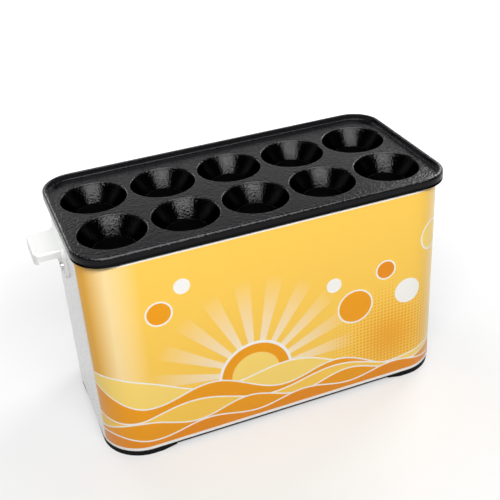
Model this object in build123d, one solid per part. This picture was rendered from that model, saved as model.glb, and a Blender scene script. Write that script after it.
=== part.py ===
from build123d import *
import math
import os

# Egg roll maker: a countertop cooker with ten upright cooking tubes in two rows of five.
# Millimetres. +X runs along the machine towards the control end, -Y is the printed front, +Z is up.
# The origin is on the surface that the feet stand on, under the middle of the machine.

os.makedirs("parts", exist_ok=True)

# Whole machine
plate_corner_radius = 30.0
body_inset = 2.0  # how far the shell stands back from the edge of the cooking plate
body_corner_radius = 40.0
cut_overrun = 1.0  # how far a cutting tool runs past the face that it cuts
sliding_clearance = 0.05  # radial play where one round piece turns or slides in another
fitting_clearance = 0.3  # play round a piece that is dropped into a pocket or hole

# Tube pattern. It sets the length and the depth of the machine.
tube_columns = 5
tube_rows = 2
mouth_web_x = 4.4  # left between the neighbouring mouths of a row
mouth_web_y = 7.4  # left between the two rows of mouths
deck_end_margin = 5.0  # from the last mouths to the ledge at the foot of the rim, at each end

# Cooking plate, a die-cast tray with a flared mouth over each funnel
skirt_height = 9.3
skirt_wall = 6.0
rim_width = 4.0
rim_rise = 5.5
rim_wall_run = 1.0  # how far the inner wall of the rim leans inwards on its way down
rim_ledge_width = 1.2  # of the step between the rim and the deck
rim_ledge_height = 0.8
deck_thickness = 3.0
rim_outer_fillet = 2.6
rim_inner_fillet = 0.6
mouth_radius = 31.3
mouth_fillet = 1.2
boss_radius = 6.0
boss_length = 12.0
boss_bore_depth = 9.0
boss_clearance = 4.0  # between a boss and the flange of the shell

# Funnels, which carry on from the mouths below the deck and end in collars
funnel_depth = 16.5  # from the top of the deck
funnel_step = 0.4  # how much wider the funnel ends than the tube begins
funnel_wall = 2.8
collar_length = 12.0
collar_wall = 2.6

# Cooking tubes, drawn cups that push into the collars from below
tube_bore_radius = 19.0
tube_wall = 1.5
tube_length = 133.0
tube_floor = 2.0
tube_bottom_fillet = 4.0
wiring_space = 58.6  # between the floor of the pan and the bottoms of the tubes

# Gasket between the plate and the shell
gasket_thickness = 1.0
gasket_width = 3.0

# Shell, a steel wrap with a flange turned in at its top
shell_wall = 1.0
shell_flange_width = 8.0
service_side_margin = 59.0  # from the ends of the body to the service opening
service_top_margin = 30.0  # from the top of the shell to the service opening
service_opening_base = 32.0

# Rear panel, screwed over the service opening
panel_thickness = 0.8
panel_overlap = 10.0
panel_corner_radius = 6.0
louvre_count = 11
louvre_pitch = 12.0
louvre_length = 26.0
louvre_width = 3.0
louvre_drop = 24.0  # from the top edge of the panel to the middle of the louvres

# Printed film on the front
film_thickness = 0.4
film_top_margin = 0.5
film_bottom_margin = 0.8
film_side_setback = 10.0  # how far before the end of the corner's curve the film stops

# Base pan and feet
foot_height = 4.0
pan_ledge_height = 2.0
pan_ledge_inset = 0.3
pan_wall_height = 14.0
pan_wall = 2.2
pan_floor = 2.4
pan_slot_length = 44.0
pan_slot_width = 4.0
pan_slot_pitch = 12.0
pan_slot_count = 5
foot_span = 62.0
foot_width = 18.0
foot_taper_length = 14.0  # over this length each end of a foot rises clear of the surface it stands on
foot_taper_rise = 3.0

# Heat spreaders, aluminium plates that carry the heaters to the tubes
spreader_end_gap = 7.6  # from the liner to the ends of the spreaders
spreader_side_gap = 0.6  # from the liner to their long sides
spreader_thickness = 4.0
upper_spreader_drop = 39.0  # below the bottoms of the funnels
lower_spreader_rise = 15.0  # above the bottoms of the tubes

# Sheathed heaters, one hairpin round each row on each spreader
heater_radius = 3.3
heater_tube_gap = 1.7  # between a tube and the heater that runs past it
heater_lift = 0.05
terminal_bush_radius = 4.6
terminal_bush_length = 5.0
terminal_pin_radius = 1.6
terminal_pin_length = 4.0

# Saddle clips that hold the heater legs down
clip_strap = 1.0
clip_width = 8.0
clip_gap = 0.3  # between the clips of neighbouring legs
clip_rivet_radius = 1.2
clip_columns_share = (-0.5, 0.5)  # in tube pitches from the middle of the machine

# Tie rods and sleeves, which clamp the plate, the shell and the pan into one stack
rod_radius = 2.5
rod_x_pitches = 1.5  # in tube pitches from the middle
rod_heater_gap = 0.15  # between a sleeve and the heater beside it
rod_thread_depth = 8.0
sleeve_wall = 1.5
nut_across_flats = 8.0
nut_height = 1.6

# Insulation and liner, a C in plan that leaves the control end open
insulation_thickness = 5.0
liner_thickness = 0.8
insulation_base = 24.0
insulation_top_gap = 15.0  # below the flange of the shell
control_end_depth = 26.0  # how much of the control end has neither insulation nor liner

# Carrying handles
handle_offset_y = 14.0
handle_top_drop = 28.0
handle_reach = 27.0
handle_width = 44.0
handle_thickness = 7.0
handle_lip = 3.0
handle_lip_width = 4.0
handle_top_fillet = 1.8
handle_corner_radius = 7.0
handle_flange_width = 58.0
handle_flange_height = 27.0
handle_flange_thickness = 3.0
handle_flange_radius = 5.0
handle_screw_spacing = 36.0
handle_screw_below_top = 18.0

# Screws
screw_radius = 2.0
screw_head_radius = 3.6
screw_head_height = 2.2
screw_length = 9.0
small_screw_radius = 1.5
small_screw_head_radius = 2.8
small_screw_head_height = 1.2
small_screw_length = 7.0
slot_width = 0.8
slot_depth = 0.7

# Control plate on the right-hand end
control_width = 78.0
control_base = 20.0
control_top_margin = 5.5  # above the dial marks
control_thickness = 2.0
control_corner_radius = 8.0

# Thermostat and its knob
thermostat_lift = 5.35  # from the top of the lower heaters to the thermostat's case
thermostat_width = 32.0
thermostat_height = 28.0
thermostat_depth = 15.0
thermostat_bush_radius = 5.0
shaft_radius = 3.0
shaft_depth = 9.0
shaft_flat = 0.8
knob_radius = 20.0
knob_skirt_height = 4.0
knob_grip_radius = 15.5
knob_height = 17.0
knob_gap = 0.6
knob_socket_depth = 10.0
knob_flutes = 18
knob_flute_radius = 1.3
pointer_width = 2.0
pointer_depth = 0.8
dial_mark_count = 10
dial_mark_radius = 26.5
dial_mark_length = 4.0
dial_mark_width = 1.0
dial_mark_height = 0.3
dial_sweep = 270.0

# Rocker switch
switch_above_base = 44.0
switch_y = -21.0
switch_bezel_height = 21.0
switch_bezel_width = 15.0
switch_bezel_thickness = 1.8
switch_body_height = 19.2
switch_body_width = 13.0
switch_depth = 14.0
switch_cavity_height = 17.6
switch_cavity_width = 11.4
switch_cavity_depth = 8.0
rocker_width = 10.8
rocker_half_height = 8.1
rocker_waist = 2.0
rocker_crown = 5.5
rocker_dip = 4.0
rocker_root = 4.0
rocker_root_half = 5.0
rocker_tilt = 8.0
rocker_pin_radius = 1.0
rocker_pin_length = 12.4
switch_pivot_depth = 2.0

# Pilot lamps
lamp_above_base = 44.0
lamp_first_y = 4.0
lamp_pitch = 22.0
lamp_flange_radius = 6.4
lamp_flange_thickness = 1.6
lamp_body_radius = 5.0
lamp_depth = 12.0
lens_radius = 4.2
lens_rise = 2.4
lens_fillet = 2.1

# Appliance inlet
inlet_above_base = 16.0
inlet_flange_length = 50.0
inlet_flange_height = 23.0
inlet_flange_thickness = 2.5
inlet_body_length = 28.0
inlet_body_height = 20.0
inlet_depth = 19.0
inlet_socket_length = 24.4
inlet_socket_height = 16.6
inlet_socket_depth = 15.0
inlet_corner_cut = 4.5
inlet_pin_thickness = 2.0
inlet_pin_height = 4.0
inlet_pin_length = 9.0
inlet_pin_spacing = 14.0
inlet_pin_rise = 2.0
inlet_screw_spacing = 40.0

# Over-heat cut-out, sensor and terminal block
cutout_side_gap = 0.6  # between the cut-out and the heater on either side
cutout_height = 7.0
cutout_tab_length = 8.0
cutout_tab_width = 6.0
cutout_tab_thickness = 0.8
bulb_radius = 2.6
bulb_length = 52.0
bulb_clip_gap = 4.5  # between the last clips and the start of the bulb
capillary_radius = 0.8
capillary_bend = 5.0
capillary_inset = 5.5  # from the thermostat's back to the capillary
terminal_block_length = 44.0
terminal_block_width = 20.0
terminal_block_height = 15.0
terminal_block_x = 104.0
terminal_way_count = 4
terminal_way_radius = 2.8
terminal_way_depth = 5.0
terminal_fixing_tab = 8.0
terminal_tab_thickness = 3.0

# Heights worked out from the sizes above
pan_floor_z = foot_height + pan_floor
tube_bottom_z = pan_floor_z + wiring_space
funnel_bottom_z = tube_bottom_z + tube_length
collar_bottom_z = funnel_bottom_z - collar_length
deck_top_z = funnel_bottom_z + funnel_depth
deck_bottom_z = deck_top_z - deck_thickness
boss_bottom_z = deck_bottom_z - boss_length
rim_top_z = deck_top_z + rim_rise
skirt_bottom_z = rim_top_z - skirt_height
shell_top_z = skirt_bottom_z - gasket_thickness
shell_bottom_z = foot_height + pan_ledge_height
service_opening_height = shell_top_z - service_top_margin - service_opening_base
insulation_top_z = shell_top_z - shell_wall - insulation_top_gap
lower_spreader_z = tube_bottom_z + lower_spreader_rise
upper_spreader_z = funnel_bottom_z - upper_spreader_drop

# Radii and distances from the middle of the machine, worked out the same way
tube_pitch_x = 2 * mouth_radius + mouth_web_x
tube_pitch_y = 2 * mouth_radius + mouth_web_y
tube_outer_radius = tube_bore_radius + tube_wall
funnel_exit_radius = tube_bore_radius + funnel_step
funnel_slope = (mouth_radius - funnel_exit_radius) / funnel_depth
heater_leg_offset = tube_outer_radius + heater_tube_gap + heater_radius  # from the tube centres to each leg
row_reach = (tube_rows - 1) / 2 * tube_pitch_y
column_reach = (tube_columns - 1) / 2 * tube_pitch_x
sleeve_radius = rod_radius + sliding_clearance + sleeve_wall
rod_y = row_reach + heater_leg_offset + heater_radius + rod_heater_gap + sleeve_radius
plate_depth = 2 * (rod_y + boss_radius + boss_clearance + shell_flange_width + body_inset)
ledge_inset = rim_width + rim_wall_run
deck_inset = ledge_inset + rim_ledge_width
plate_length = 2 * (column_reach + mouth_radius + deck_end_margin + deck_inset)
body_length = plate_length - 2 * body_inset
body_depth = plate_depth - 2 * body_inset
body_end_x = body_length / 2
body_rear_y = body_depth / 2
service_opening_length = body_length - 2 * service_side_margin
liner_inset = shell_wall + 2 * fitting_clearance + insulation_thickness
spreader_end_inset = liner_inset + liner_thickness + spreader_end_gap
spreader_length = body_length - 2 * spreader_end_inset
spreader_depth = body_depth - 2 * (liner_inset + liner_thickness + spreader_side_gap)
spreader_corner_radius = body_corner_radius - spreader_end_inset
heater_reach = spreader_length / 2
clip_outer = heater_radius + sliding_clearance + clip_strap
clip_foot = row_reach - heater_leg_offset - clip_outer - clip_gap / 2
cutout_radius = row_reach - heater_leg_offset - heater_radius - cutout_side_gap
bulb_start_x = max(clip_columns_share) * tube_pitch_x + clip_width / 2 + bulb_clip_gap

# The control end
control_face_x = body_end_x + control_thickness
heater_axis_lift = spreader_thickness + heater_lift + heater_radius
thermostat_bottom_z = lower_spreader_z + heater_axis_lift + heater_radius + thermostat_lift
knob_axis_z = thermostat_bottom_z + thermostat_height / 2
control_top_z = knob_axis_z + dial_mark_radius + dial_mark_length / 2 + control_top_margin
control_height = control_top_z - control_base
thermostat_back_x = body_end_x - shell_wall - thermostat_depth
capillary_x = thermostat_back_x + capillary_inset
switch_z = control_base + switch_above_base
lamp_z = control_base + lamp_above_base
inlet_z = control_base + inlet_above_base
handle_top_z = rim_top_z - handle_top_drop
handle_screw_z = handle_top_z - handle_screw_below_top
spreader_levels = (("upper", upper_spreader_z), ("lower", lower_spreader_z))
row_names = ("front", "rear")
rod_places = [
    (side_x * rod_x_pitches * tube_pitch_x, side_y * rod_y) for side_x in (-1, 1) for side_y in (-1, 1)
]


def row_y(row):
    """The line of tube centres of one row."""
    return row * tube_pitch_y - row_reach


def tube_places():
    """The tube centres, from the left of the front row to the right of the rear row."""
    places = []
    for row in range(tube_rows):
        for column in range(tube_columns):
            places.append((column * tube_pitch_x - column_reach, row_y(row)))
    return places


def save(name, shape):
    """Write one sub-part to its own file."""
    export_step(shape, f"parts/{name}.step")


def group(solids):
    """Separate solids that share one node."""
    return Compound(children=[piece.solid() for piece in solids])


def slab(length, depth, radius, low_z, high_z):
    """A plate with rounded corners, centred on the machine."""
    return extrude(Pos(0, 0, low_z) * RectangleRounded(length, depth, radius), high_z - low_z)


def inset_slab(length, depth, radius, inset, low_z, high_z):
    """The same outline taken in by an even margin."""
    return slab(length - 2 * inset, depth - 2 * inset, radius - inset, low_z, high_z)


def ring(length, depth, radius, outer_inset, inner_inset, low_z, high_z):
    """An upright wall that follows a rounded rectangle."""
    outside = inset_slab(length, depth, radius, outer_inset, low_z, high_z)
    inside = inset_slab(length, depth, radius, inner_inset, low_z - cut_overrun, high_z + cut_overrun)
    return outside - inside


def post(radius, x, y, low_z, high_z):
    """An upright cylinder between two heights."""
    return Pos(x, y, (low_z + high_z) / 2) * Cylinder(radius, high_z - low_z)


def rod_x(radius, low_x, high_x, y, z):
    """A cylinder that lies along X between two places."""
    return Pos((low_x + high_x) / 2, y, z) * Rot(0, 90, 0) * Cylinder(radius, high_x - low_x)


def block(low_x, high_x, low_y, high_y, low_z, high_z):
    """A box from its six faces."""
    centre = Pos((low_x + high_x) / 2, (low_y + high_y) / 2, (low_z + high_z) / 2)
    return centre * Box(high_x - low_x, high_y - low_y, high_z - low_z)


def end_plate(width, height, radius, y, z, low_x, high_x):
    """A rounded plate that stands square to X, centred at y and z."""
    standing = Plane(origin=(low_x, y, z), x_dir=(0, 1, 0), z_dir=(1, 0, 0))
    return extrude(standing * RectangleRounded(width, height, radius), high_x - low_x)


def flare(wall, x, y, low_z, high_z):
    """The cone of a funnel between two heights, thickened by a wall."""
    low_radius = mouth_radius + wall + funnel_slope * (low_z - deck_top_z)
    high_radius = mouth_radius + wall + funnel_slope * (high_z - deck_top_z)
    return Pos(x, y, (low_z + high_z) / 2) * Cone(low_radius, high_radius, high_z - low_z)


def edges_at(shape, z):
    """The level edges of a shape at one height."""
    return [
        edge
        for edge in shape.edges()
        if abs(edge.bounding_box().min.Z - z) < sliding_clearance
        and abs(edge.bounding_box().max.Z - z) < sliding_clearance
    ]


def pan_head_screw(radius, length, head_radius, head_height):
    """A slotted pan-head screw on Z, with the underside of its head at the origin and its shank below."""
    head = Pos(0, 0, head_height / 2) * Cylinder(head_radius, head_height)
    head = fillet(edges_at(head, head_height), head_height / 2)
    slot = Pos(0, 0, head_height) * Box(2 * head_radius, slot_width, 2 * slot_depth)
    shank = Pos(0, 0, -length / 2) * Cylinder(radius, length)
    return head - slot + shank


def tube_along(points, radii, section_radius):
    """A round lead along straight runs joined by tangent arcs."""
    path = FilletPolyline(*points, radius=radii)
    start = path.wire() @ 0
    heading = path.wire() % 0
    return sweep(Plane(origin=start, z_dir=heading) * Circle(section_radius), path=path.wire())


# Cooking plate
def make_cooking_plate():
    """The tray, its rim and skirt, the bosses under it and a flared mouth over every funnel."""
    tray = slab(plate_length, plate_depth, plate_corner_radius, deck_bottom_z, rim_top_z)
    tray = fillet(edges_at(tray, rim_top_z), rim_outer_fillet)
    tray -= inset_slab(plate_length, plate_depth, plate_corner_radius, deck_inset, deck_top_z, rim_top_z)
    wall_height = rim_rise - rim_ledge_height
    low = Pos(0, 0, deck_top_z + rim_ledge_height) * RectangleRounded(
        plate_length - 2 * ledge_inset,
        plate_depth - 2 * ledge_inset,
        plate_corner_radius - ledge_inset,
    )
    high = Pos(0, 0, rim_top_z + cut_overrun) * RectangleRounded(
        plate_length - 2 * rim_width + 2 * rim_wall_run * cut_overrun / wall_height,
        plate_depth - 2 * rim_width + 2 * rim_wall_run * cut_overrun / wall_height,
        plate_corner_radius - rim_width + rim_wall_run * cut_overrun / wall_height,
    )
    tray -= loft([low, high])
    rim_middle = (rim_outer_fillet + rim_width) / 2
    inner_top = [
        edge
        for edge in edges_at(tray, rim_top_z)
        if edge.bounding_box().max.X < plate_length / 2 - rim_middle
        and edge.bounding_box().min.X > -plate_length / 2 + rim_middle
        and abs(edge.center().Y) < plate_depth / 2 - rim_middle
    ]
    tray = fillet(inner_top, rim_inner_fillet)
    tray += ring(
        plate_length, plate_depth, plate_corner_radius, 0, skirt_wall, skirt_bottom_z, deck_bottom_z
    )
    for x, y in tube_places():
        tray -= flare(0, x, y, deck_bottom_z - cut_overrun, deck_top_z + cut_overrun)
    mouths = [
        edge
        for edge in edges_at(tray, deck_top_z)
        if edge.geom_type == GeomType.CIRCLE and abs(edge.radius - mouth_radius) < mouth_fillet
    ]
    tray = fillet(mouths, mouth_fillet)
    for x, y in rod_places:
        tray += post(boss_radius, x, y, boss_bottom_z, deck_bottom_z)
    for x, y in rod_places:
        bore_top = boss_bottom_z + boss_bore_depth
        tray -= post(rod_radius + sliding_clearance, x, y, boss_bottom_z - cut_overrun, bore_top)
    return tray


# Funnels and cooking tubes
def make_funnels():
    """Ten spun funnels, seated under the deck, with a collar below each for its tube."""
    bore = tube_outer_radius + sliding_clearance
    funnels = []
    for x, y in tube_places():
        funnel = flare(funnel_wall, x, y, funnel_bottom_z, deck_bottom_z)
        funnel += post(bore + collar_wall, x, y, collar_bottom_z, funnel_bottom_z)
        funnel -= flare(0, x, y, funnel_bottom_z, deck_bottom_z + cut_overrun)
        funnel -= post(bore, x, y, collar_bottom_z - cut_overrun, funnel_bottom_z)
        funnels.append(funnel)
    return group(funnels)


def make_tube(x, y):
    """A drawn cup, open at the top, with a rounded bottom."""
    cup = post(tube_outer_radius, x, y, tube_bottom_z, funnel_bottom_z)
    cup = fillet(edges_at(cup, tube_bottom_z), tube_bottom_fillet)
    bore = post(tube_bore_radius, x, y, tube_bottom_z + tube_floor, funnel_bottom_z + cut_overrun)
    bore = fillet(edges_at(bore, tube_bottom_z + tube_floor), tube_bottom_fillet - tube_wall)
    return cup - bore


# Shell, rear panel, film and gasket
def make_gasket():
    """A flat ring under the skirt of the plate."""
    margin = body_inset + shell_wall
    return ring(
        plate_length,
        plate_depth,
        plate_corner_radius,
        margin,
        margin + gasket_width,
        shell_top_z,
        skirt_bottom_z,
    )


def panel_screw_places():
    """Places of the rear panel's screws, in X and Z, round the service opening."""
    half = (service_opening_length + panel_overlap) / 2
    low = service_opening_base - panel_overlap / 2
    high = service_opening_base + service_opening_height + panel_overlap / 2
    return [(x, z) for z in (low, high) for x in (-half, 0, half)]


def make_shell():
    """The steel wrap, with its turned-in flange and every hole that something passes through."""
    shell = ring(
        body_length, body_depth, body_corner_radius, 0, shell_wall, shell_bottom_z, shell_top_z
    )
    shell += ring(
        body_length,
        body_depth,
        body_corner_radius,
        0,
        shell_flange_width,
        shell_top_z - shell_wall,
        shell_top_z,
    )
    shell -= block(
        -service_opening_length / 2,
        service_opening_length / 2,
        body_rear_y - shell_wall - cut_overrun,
        body_rear_y + cut_overrun,
        service_opening_base,
        service_opening_base + service_opening_height,
    )
    for x, z in panel_screw_places():
        shell -= Pos(x, body_rear_y, z) * Rot(90, 0, 0) * Cylinder(
            small_screw_radius + sliding_clearance, 2 * shell_wall + 2 * cut_overrun
        )
    for side in (-1, 1):
        for y in handle_screw_ys():
            shell -= rod_x(
                screw_radius + sliding_clearance,
                side * body_end_x - shell_wall - cut_overrun,
                side * body_end_x + shell_wall + cut_overrun,
                y,
                handle_screw_z,
            )
    return shell - control_cutters(body_end_x - shell_wall - cut_overrun, body_end_x + cut_overrun)


def control_cutters(low_x, high_x):
    """Holes for the shaft bush, the switch, the lamps, the inlet and the screws of the control end."""
    cutters = rod_x(thermostat_bush_radius + fitting_clearance, low_x, high_x, 0, knob_axis_z)
    cutters += block(
        low_x,
        high_x,
        switch_y - switch_body_width / 2 - fitting_clearance,
        switch_y + switch_body_width / 2 + fitting_clearance,
        switch_z - switch_body_height / 2 - fitting_clearance,
        switch_z + switch_body_height / 2 + fitting_clearance,
    )
    for y in lamp_ys():
        cutters += rod_x(lamp_body_radius + fitting_clearance, low_x, high_x, y, lamp_z)
    cutters += block(
        low_x,
        high_x,
        -inlet_body_length / 2 - fitting_clearance,
        inlet_body_length / 2 + fitting_clearance,
        inlet_z - inlet_body_height / 2 - fitting_clearance,
        inlet_z + inlet_body_height / 2 + fitting_clearance,
    )
    for y, z in inlet_screw_places() + control_screw_places():
        cutters += rod_x(small_screw_radius + sliding_clearance, low_x, high_x, y, z)
    return cutters


def lamp_ys():
    """The two pilot lamps, side by side."""
    return [lamp_first_y + index * lamp_pitch for index in range(2)]


def inlet_screw_places():
    """The inlet's two fixing screws, in Y and Z."""
    return [(side * inlet_screw_spacing / 2, inlet_z) for side in (-1, 1)]


def control_screw_places():
    """The four corner screws of the control plate, in Y and Z."""
    half_width = control_width / 2 - control_corner_radius
    low = control_base + control_corner_radius
    high = control_top_z - control_corner_radius
    return [(side * half_width, z) for side in (-1, 1) for z in (low, high)]


def handle_screw_ys():
    """The two screws of a handle."""
    return [handle_offset_y + side * handle_screw_spacing / 2 for side in (-1, 1)]


def make_rear_panel():
    """A flat sheet with rounded corners and a row of louvre slots."""
    length = service_opening_length + 2 * panel_overlap
    height = service_opening_height + 2 * panel_overlap
    middle_z = service_opening_base + service_opening_height / 2
    outline = Plane(
        origin=(0, body_rear_y, middle_z), x_dir=(1, 0, 0), z_dir=(0, -1, 0)
    ) * RectangleRounded(length, height, panel_corner_radius)
    panel = extrude(outline, -panel_thickness)
    louvre_z = middle_z + height / 2 - louvre_drop
    for index in range(louvre_count):
        x = (index - (louvre_count - 1) / 2) * louvre_pitch
        panel -= block(
            x - louvre_width / 2,
            x + louvre_width / 2,
            body_rear_y - cut_overrun,
            body_rear_y + panel_thickness + cut_overrun,
            louvre_z - louvre_length / 2,
            louvre_z + louvre_length / 2,
        )
    for x, z in panel_screw_places():
        panel -= Pos(x, body_rear_y, z) * Rot(90, 0, 0) * Cylinder(
            small_screw_radius + sliding_clearance, 2 * shell_wall + 2 * cut_overrun
        )
    return panel


def make_panel_screws():
    """Six screws whose heads bear on the rear panel."""
    screw = pan_head_screw(
        small_screw_radius, small_screw_length, small_screw_head_radius, small_screw_head_height
    )
    return group(
        Pos(x, body_rear_y + panel_thickness, z) * Rot(-90, 0, 0) * screw for x, z in panel_screw_places()
    )


def make_front_film():
    """A thin printed film that covers the front and both front corners."""
    film = ring(
        body_length + 2 * film_thickness,
        body_depth + 2 * film_thickness,
        body_corner_radius + film_thickness,
        0,
        film_thickness,
        shell_bottom_z + film_bottom_margin,
        shell_top_z - film_top_margin,
    )
    edge_y = -body_depth / 2 + body_corner_radius - film_side_setback
    return film - block(
        -plate_length, plate_length, edge_y, plate_depth, shell_bottom_z - cut_overrun, rim_top_z
    )


# Base pan and feet
def foot_corner_place(side_x, side_y):
    """Middle of one foot, on the corner's own curve."""
    reach = (body_corner_radius - pan_ledge_inset - foot_width / 2) * math.sqrt(0.5)
    x = side_x * (body_length / 2 - body_corner_radius + reach)
    y = side_y * (body_depth / 2 - body_corner_radius + reach)
    return x, y


def make_base_pan():
    """The tray that closes the bottom. Its ledge carries the shell, and its wall fits inside it."""
    ledge = inset_slab(
        body_length, body_depth, body_corner_radius, pan_ledge_inset, foot_height, shell_bottom_z
    )
    wall_inset = shell_wall + fitting_clearance
    wall = inset_slab(
        body_length,
        body_depth,
        body_corner_radius,
        wall_inset,
        shell_bottom_z,
        shell_bottom_z + pan_wall_height,
    )
    hollow = inset_slab(
        body_length,
        body_depth,
        body_corner_radius,
        wall_inset + pan_wall,
        pan_floor_z,
        shell_bottom_z + pan_wall_height + cut_overrun,
    )
    pan = ledge + wall - hollow
    for column in range(pan_slot_count):
        x = (column - (pan_slot_count - 1) / 2) * pan_slot_pitch
        for side in (-1, 1):
            y = side * tube_pitch_y / 2
            pan -= block(
                x - pan_slot_width / 2,
                x + pan_slot_width / 2,
                y - pan_slot_length / 2,
                y + pan_slot_length / 2,
                foot_height - cut_overrun,
                pan_floor_z + cut_overrun,
            )
    for x, y in rod_places:
        pan -= post(
            rod_radius + fitting_clearance, x, y, foot_height - cut_overrun, pan_floor_z + cut_overrun
        )
    for side_x in (-1, 1):
        for side_y in (-1, 1):
            x, y = foot_corner_place(side_x, side_y)
            pan -= post(
                small_screw_radius + sliding_clearance,
                x,
                y,
                foot_height - cut_overrun,
                pan_floor_z + cut_overrun,
            )
    return pan


def foot_end_cuts(side_x, side_y):
    """The wedges that lift the two ends of a foot off the surface."""
    cuts = Part()
    for plane, side, corner in ((Plane.XZ, side_x, body_length / 2), (Plane.YZ, side_y, body_depth / 2)):
        end = side * (corner - foot_span)
        toe = end + side * foot_taper_length
        beyond = end - side * cut_overrun
        outline = Polygon(
            (toe, 0),
            (end, foot_taper_rise),
            (beyond, foot_taper_rise),
            (beyond, -cut_overrun),
            (toe, -cut_overrun),
            align=None,
        )
        cuts += extrude(plane * outline, plate_length, both=True)
    return cuts


def make_foot(side_x, side_y):
    """A rubber pad that follows one corner, with a recess for its screw. It keeps clear of the tie rods' nuts."""
    pad = ring(
        body_length,
        body_depth,
        body_corner_radius,
        pan_ledge_inset,
        foot_width,
        0,
        foot_height,
    )
    corner_x = side_x * body_length / 2
    corner_y = side_y * body_depth / 2
    keep = block(
        min(corner_x, corner_x - side_x * foot_span),
        max(corner_x, corner_x - side_x * foot_span),
        min(corner_y, corner_y - side_y * foot_span),
        max(corner_y, corner_y - side_y * foot_span),
        0,
        foot_height,
    )
    pad = (pad & keep) - foot_end_cuts(side_x, side_y)
    nut_radius = nut_across_flats / math.sqrt(3)
    for x, y in rod_places:
        pad -= post(nut_radius + fitting_clearance, x, y, -cut_overrun, foot_height + cut_overrun)
    x, y = foot_corner_place(side_x, side_y)
    pad -= post(small_screw_radius + sliding_clearance, x, y, -cut_overrun, foot_height + cut_overrun)
    pad -= post(
        small_screw_head_radius + fitting_clearance,
        x,
        y,
        -cut_overrun,
        foot_height / 2,
    )
    return pad


def make_foot_screws():
    """Four screws from below, sunk in the feet."""
    screw = Rot(180, 0, 0) * pan_head_screw(
        small_screw_radius, small_screw_length, small_screw_head_radius, small_screw_head_height
    )
    places = [foot_corner_place(side_x, side_y) for side_x in (-1, 1) for side_y in (-1, 1)]
    return group(Pos(x, y, foot_height / 2) * screw for x, y in places)


# Heat spreaders, heaters and clips
def make_spreader(low_z):
    """An aluminium plate, bored for the tubes and the tie rods."""
    high_z = low_z + spreader_thickness
    plate = slab(spreader_length, spreader_depth, spreader_corner_radius, low_z, high_z)
    for x, y in tube_places():
        plate -= post(
            tube_outer_radius + sliding_clearance, x, y, low_z - cut_overrun, high_z + cut_overrun
        )
    for x, y in rod_places:
        plate -= post(rod_radius + fitting_clearance, x, y, low_z - cut_overrun, high_z + cut_overrun)
    return plate


def heater_axis_z(spreader_z):
    """Height of the middle of a heater that lies on a spreader."""
    return spreader_z + heater_axis_lift


def make_heater(row, spreader_z):
    """A hairpin of sheathed heater round one row of tubes, with a bush and a pin on each end."""
    z = heater_axis_z(spreader_z)
    y = row_y(row)
    turn_x = -column_reach
    near = Vector(heater_reach, y - heater_leg_offset, z)
    near_turn = Vector(turn_x, y - heater_leg_offset, z)
    apex = Vector(turn_x - heater_leg_offset, y, z)
    far_turn = Vector(turn_x, y + heater_leg_offset, z)
    far = Vector(heater_reach, y + heater_leg_offset, z)
    path = Wire(
        [
            Edge.make_line(near, near_turn),
            Edge.make_three_point_arc(near_turn, apex, far_turn),
            Edge.make_line(far_turn, far),
        ]
    )
    heater = sweep(Plane(origin=near, z_dir=(-1, 0, 0)) * Circle(heater_radius), path=path)
    for end_y in (near.Y, far.Y):
        bush_end = heater_reach + terminal_bush_length
        heater += rod_x(terminal_bush_radius, heater_reach, bush_end, end_y, z)
        heater += rod_x(terminal_pin_radius, bush_end, bush_end + terminal_pin_length, end_y, z)
    return heater


def make_heater_clips(spreader_z):
    """Saddle straps over the heater legs, each with a foot and a rivet on either side."""
    z = heater_axis_z(spreader_z)
    deck_z = spreader_z + spreader_thickness
    inner = heater_radius + sliding_clearance
    outer = clip_outer
    clips = []
    for share in clip_columns_share:
        for row in range(tube_rows):
            for side in (-1, 1):
                x = share * tube_pitch_x
                y = row_y(row) + side * heater_leg_offset
                strap = rod_x(outer, x - clip_width / 2, x + clip_width / 2, y, z)
                strap += block(
                    x - clip_width / 2, x + clip_width / 2, y - outer, y + outer, deck_z, z
                )
                strap += block(
                    x - clip_width / 2,
                    x + clip_width / 2,
                    y - outer - clip_foot,
                    y + outer + clip_foot,
                    deck_z,
                    deck_z + clip_strap,
                )
                low = block(
                    x - clip_width, x + clip_width, y - outer, y + outer, deck_z - outer, deck_z
                )
                strap -= rod_x(inner, x - clip_width, x + clip_width, y, z)
                strap -= block(
                    x - clip_width, x + clip_width, y - inner, y + inner, deck_z - inner, z
                )
                strap -= low
                for rivet_side in (-1, 1):
                    rivet_y = y + rivet_side * (outer + clip_foot / 2)
                    rivet_base = deck_z + clip_strap
                    strap += post(
                        clip_rivet_radius, x, rivet_y, rivet_base, rivet_base + clip_strap
                    )
                clips.append(strap)
    return group(clips)


# Tie rods, sleeves and nuts
def make_tie_rods():
    """Four rods from the pan to the bosses under the plate."""
    top = boss_bottom_z + rod_thread_depth
    bottom = foot_height - nut_height
    return group(post(rod_radius, x, y, bottom, top) for x, y in rod_places)


def make_tie_nuts():
    """Thin nuts under the pan."""
    nuts = []
    for x, y in rod_places:
        hexagon = RegularPolygon(nut_across_flats / 2, 6, major_radius=False)
        nut = extrude(Pos(x, y, foot_height - nut_height) * hexagon, nut_height)
        nut -= post(rod_radius + sliding_clearance, x, y, 0, foot_height + cut_overrun)
        nuts.append(nut)
    return group(nuts)


def make_sleeves(low_z, high_z):
    """Four spacer sleeves round the rods, between two levels of the stack."""
    inner = rod_radius + sliding_clearance
    sleeves = []
    for x, y in rod_places:
        sleeve = post(sleeve_radius, x, y, low_z, high_z)
        sleeves.append(sleeve - post(inner, x, y, low_z - cut_overrun, high_z + cut_overrun))
    return group(sleeves)


# Insulation and liner
def open_at_control_end(wall):
    """Cut the control end away from a wall that runs all round."""
    return wall - block(
        body_end_x - control_end_depth, plate_length, -plate_depth, plate_depth, 0, rim_top_z
    )


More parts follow.
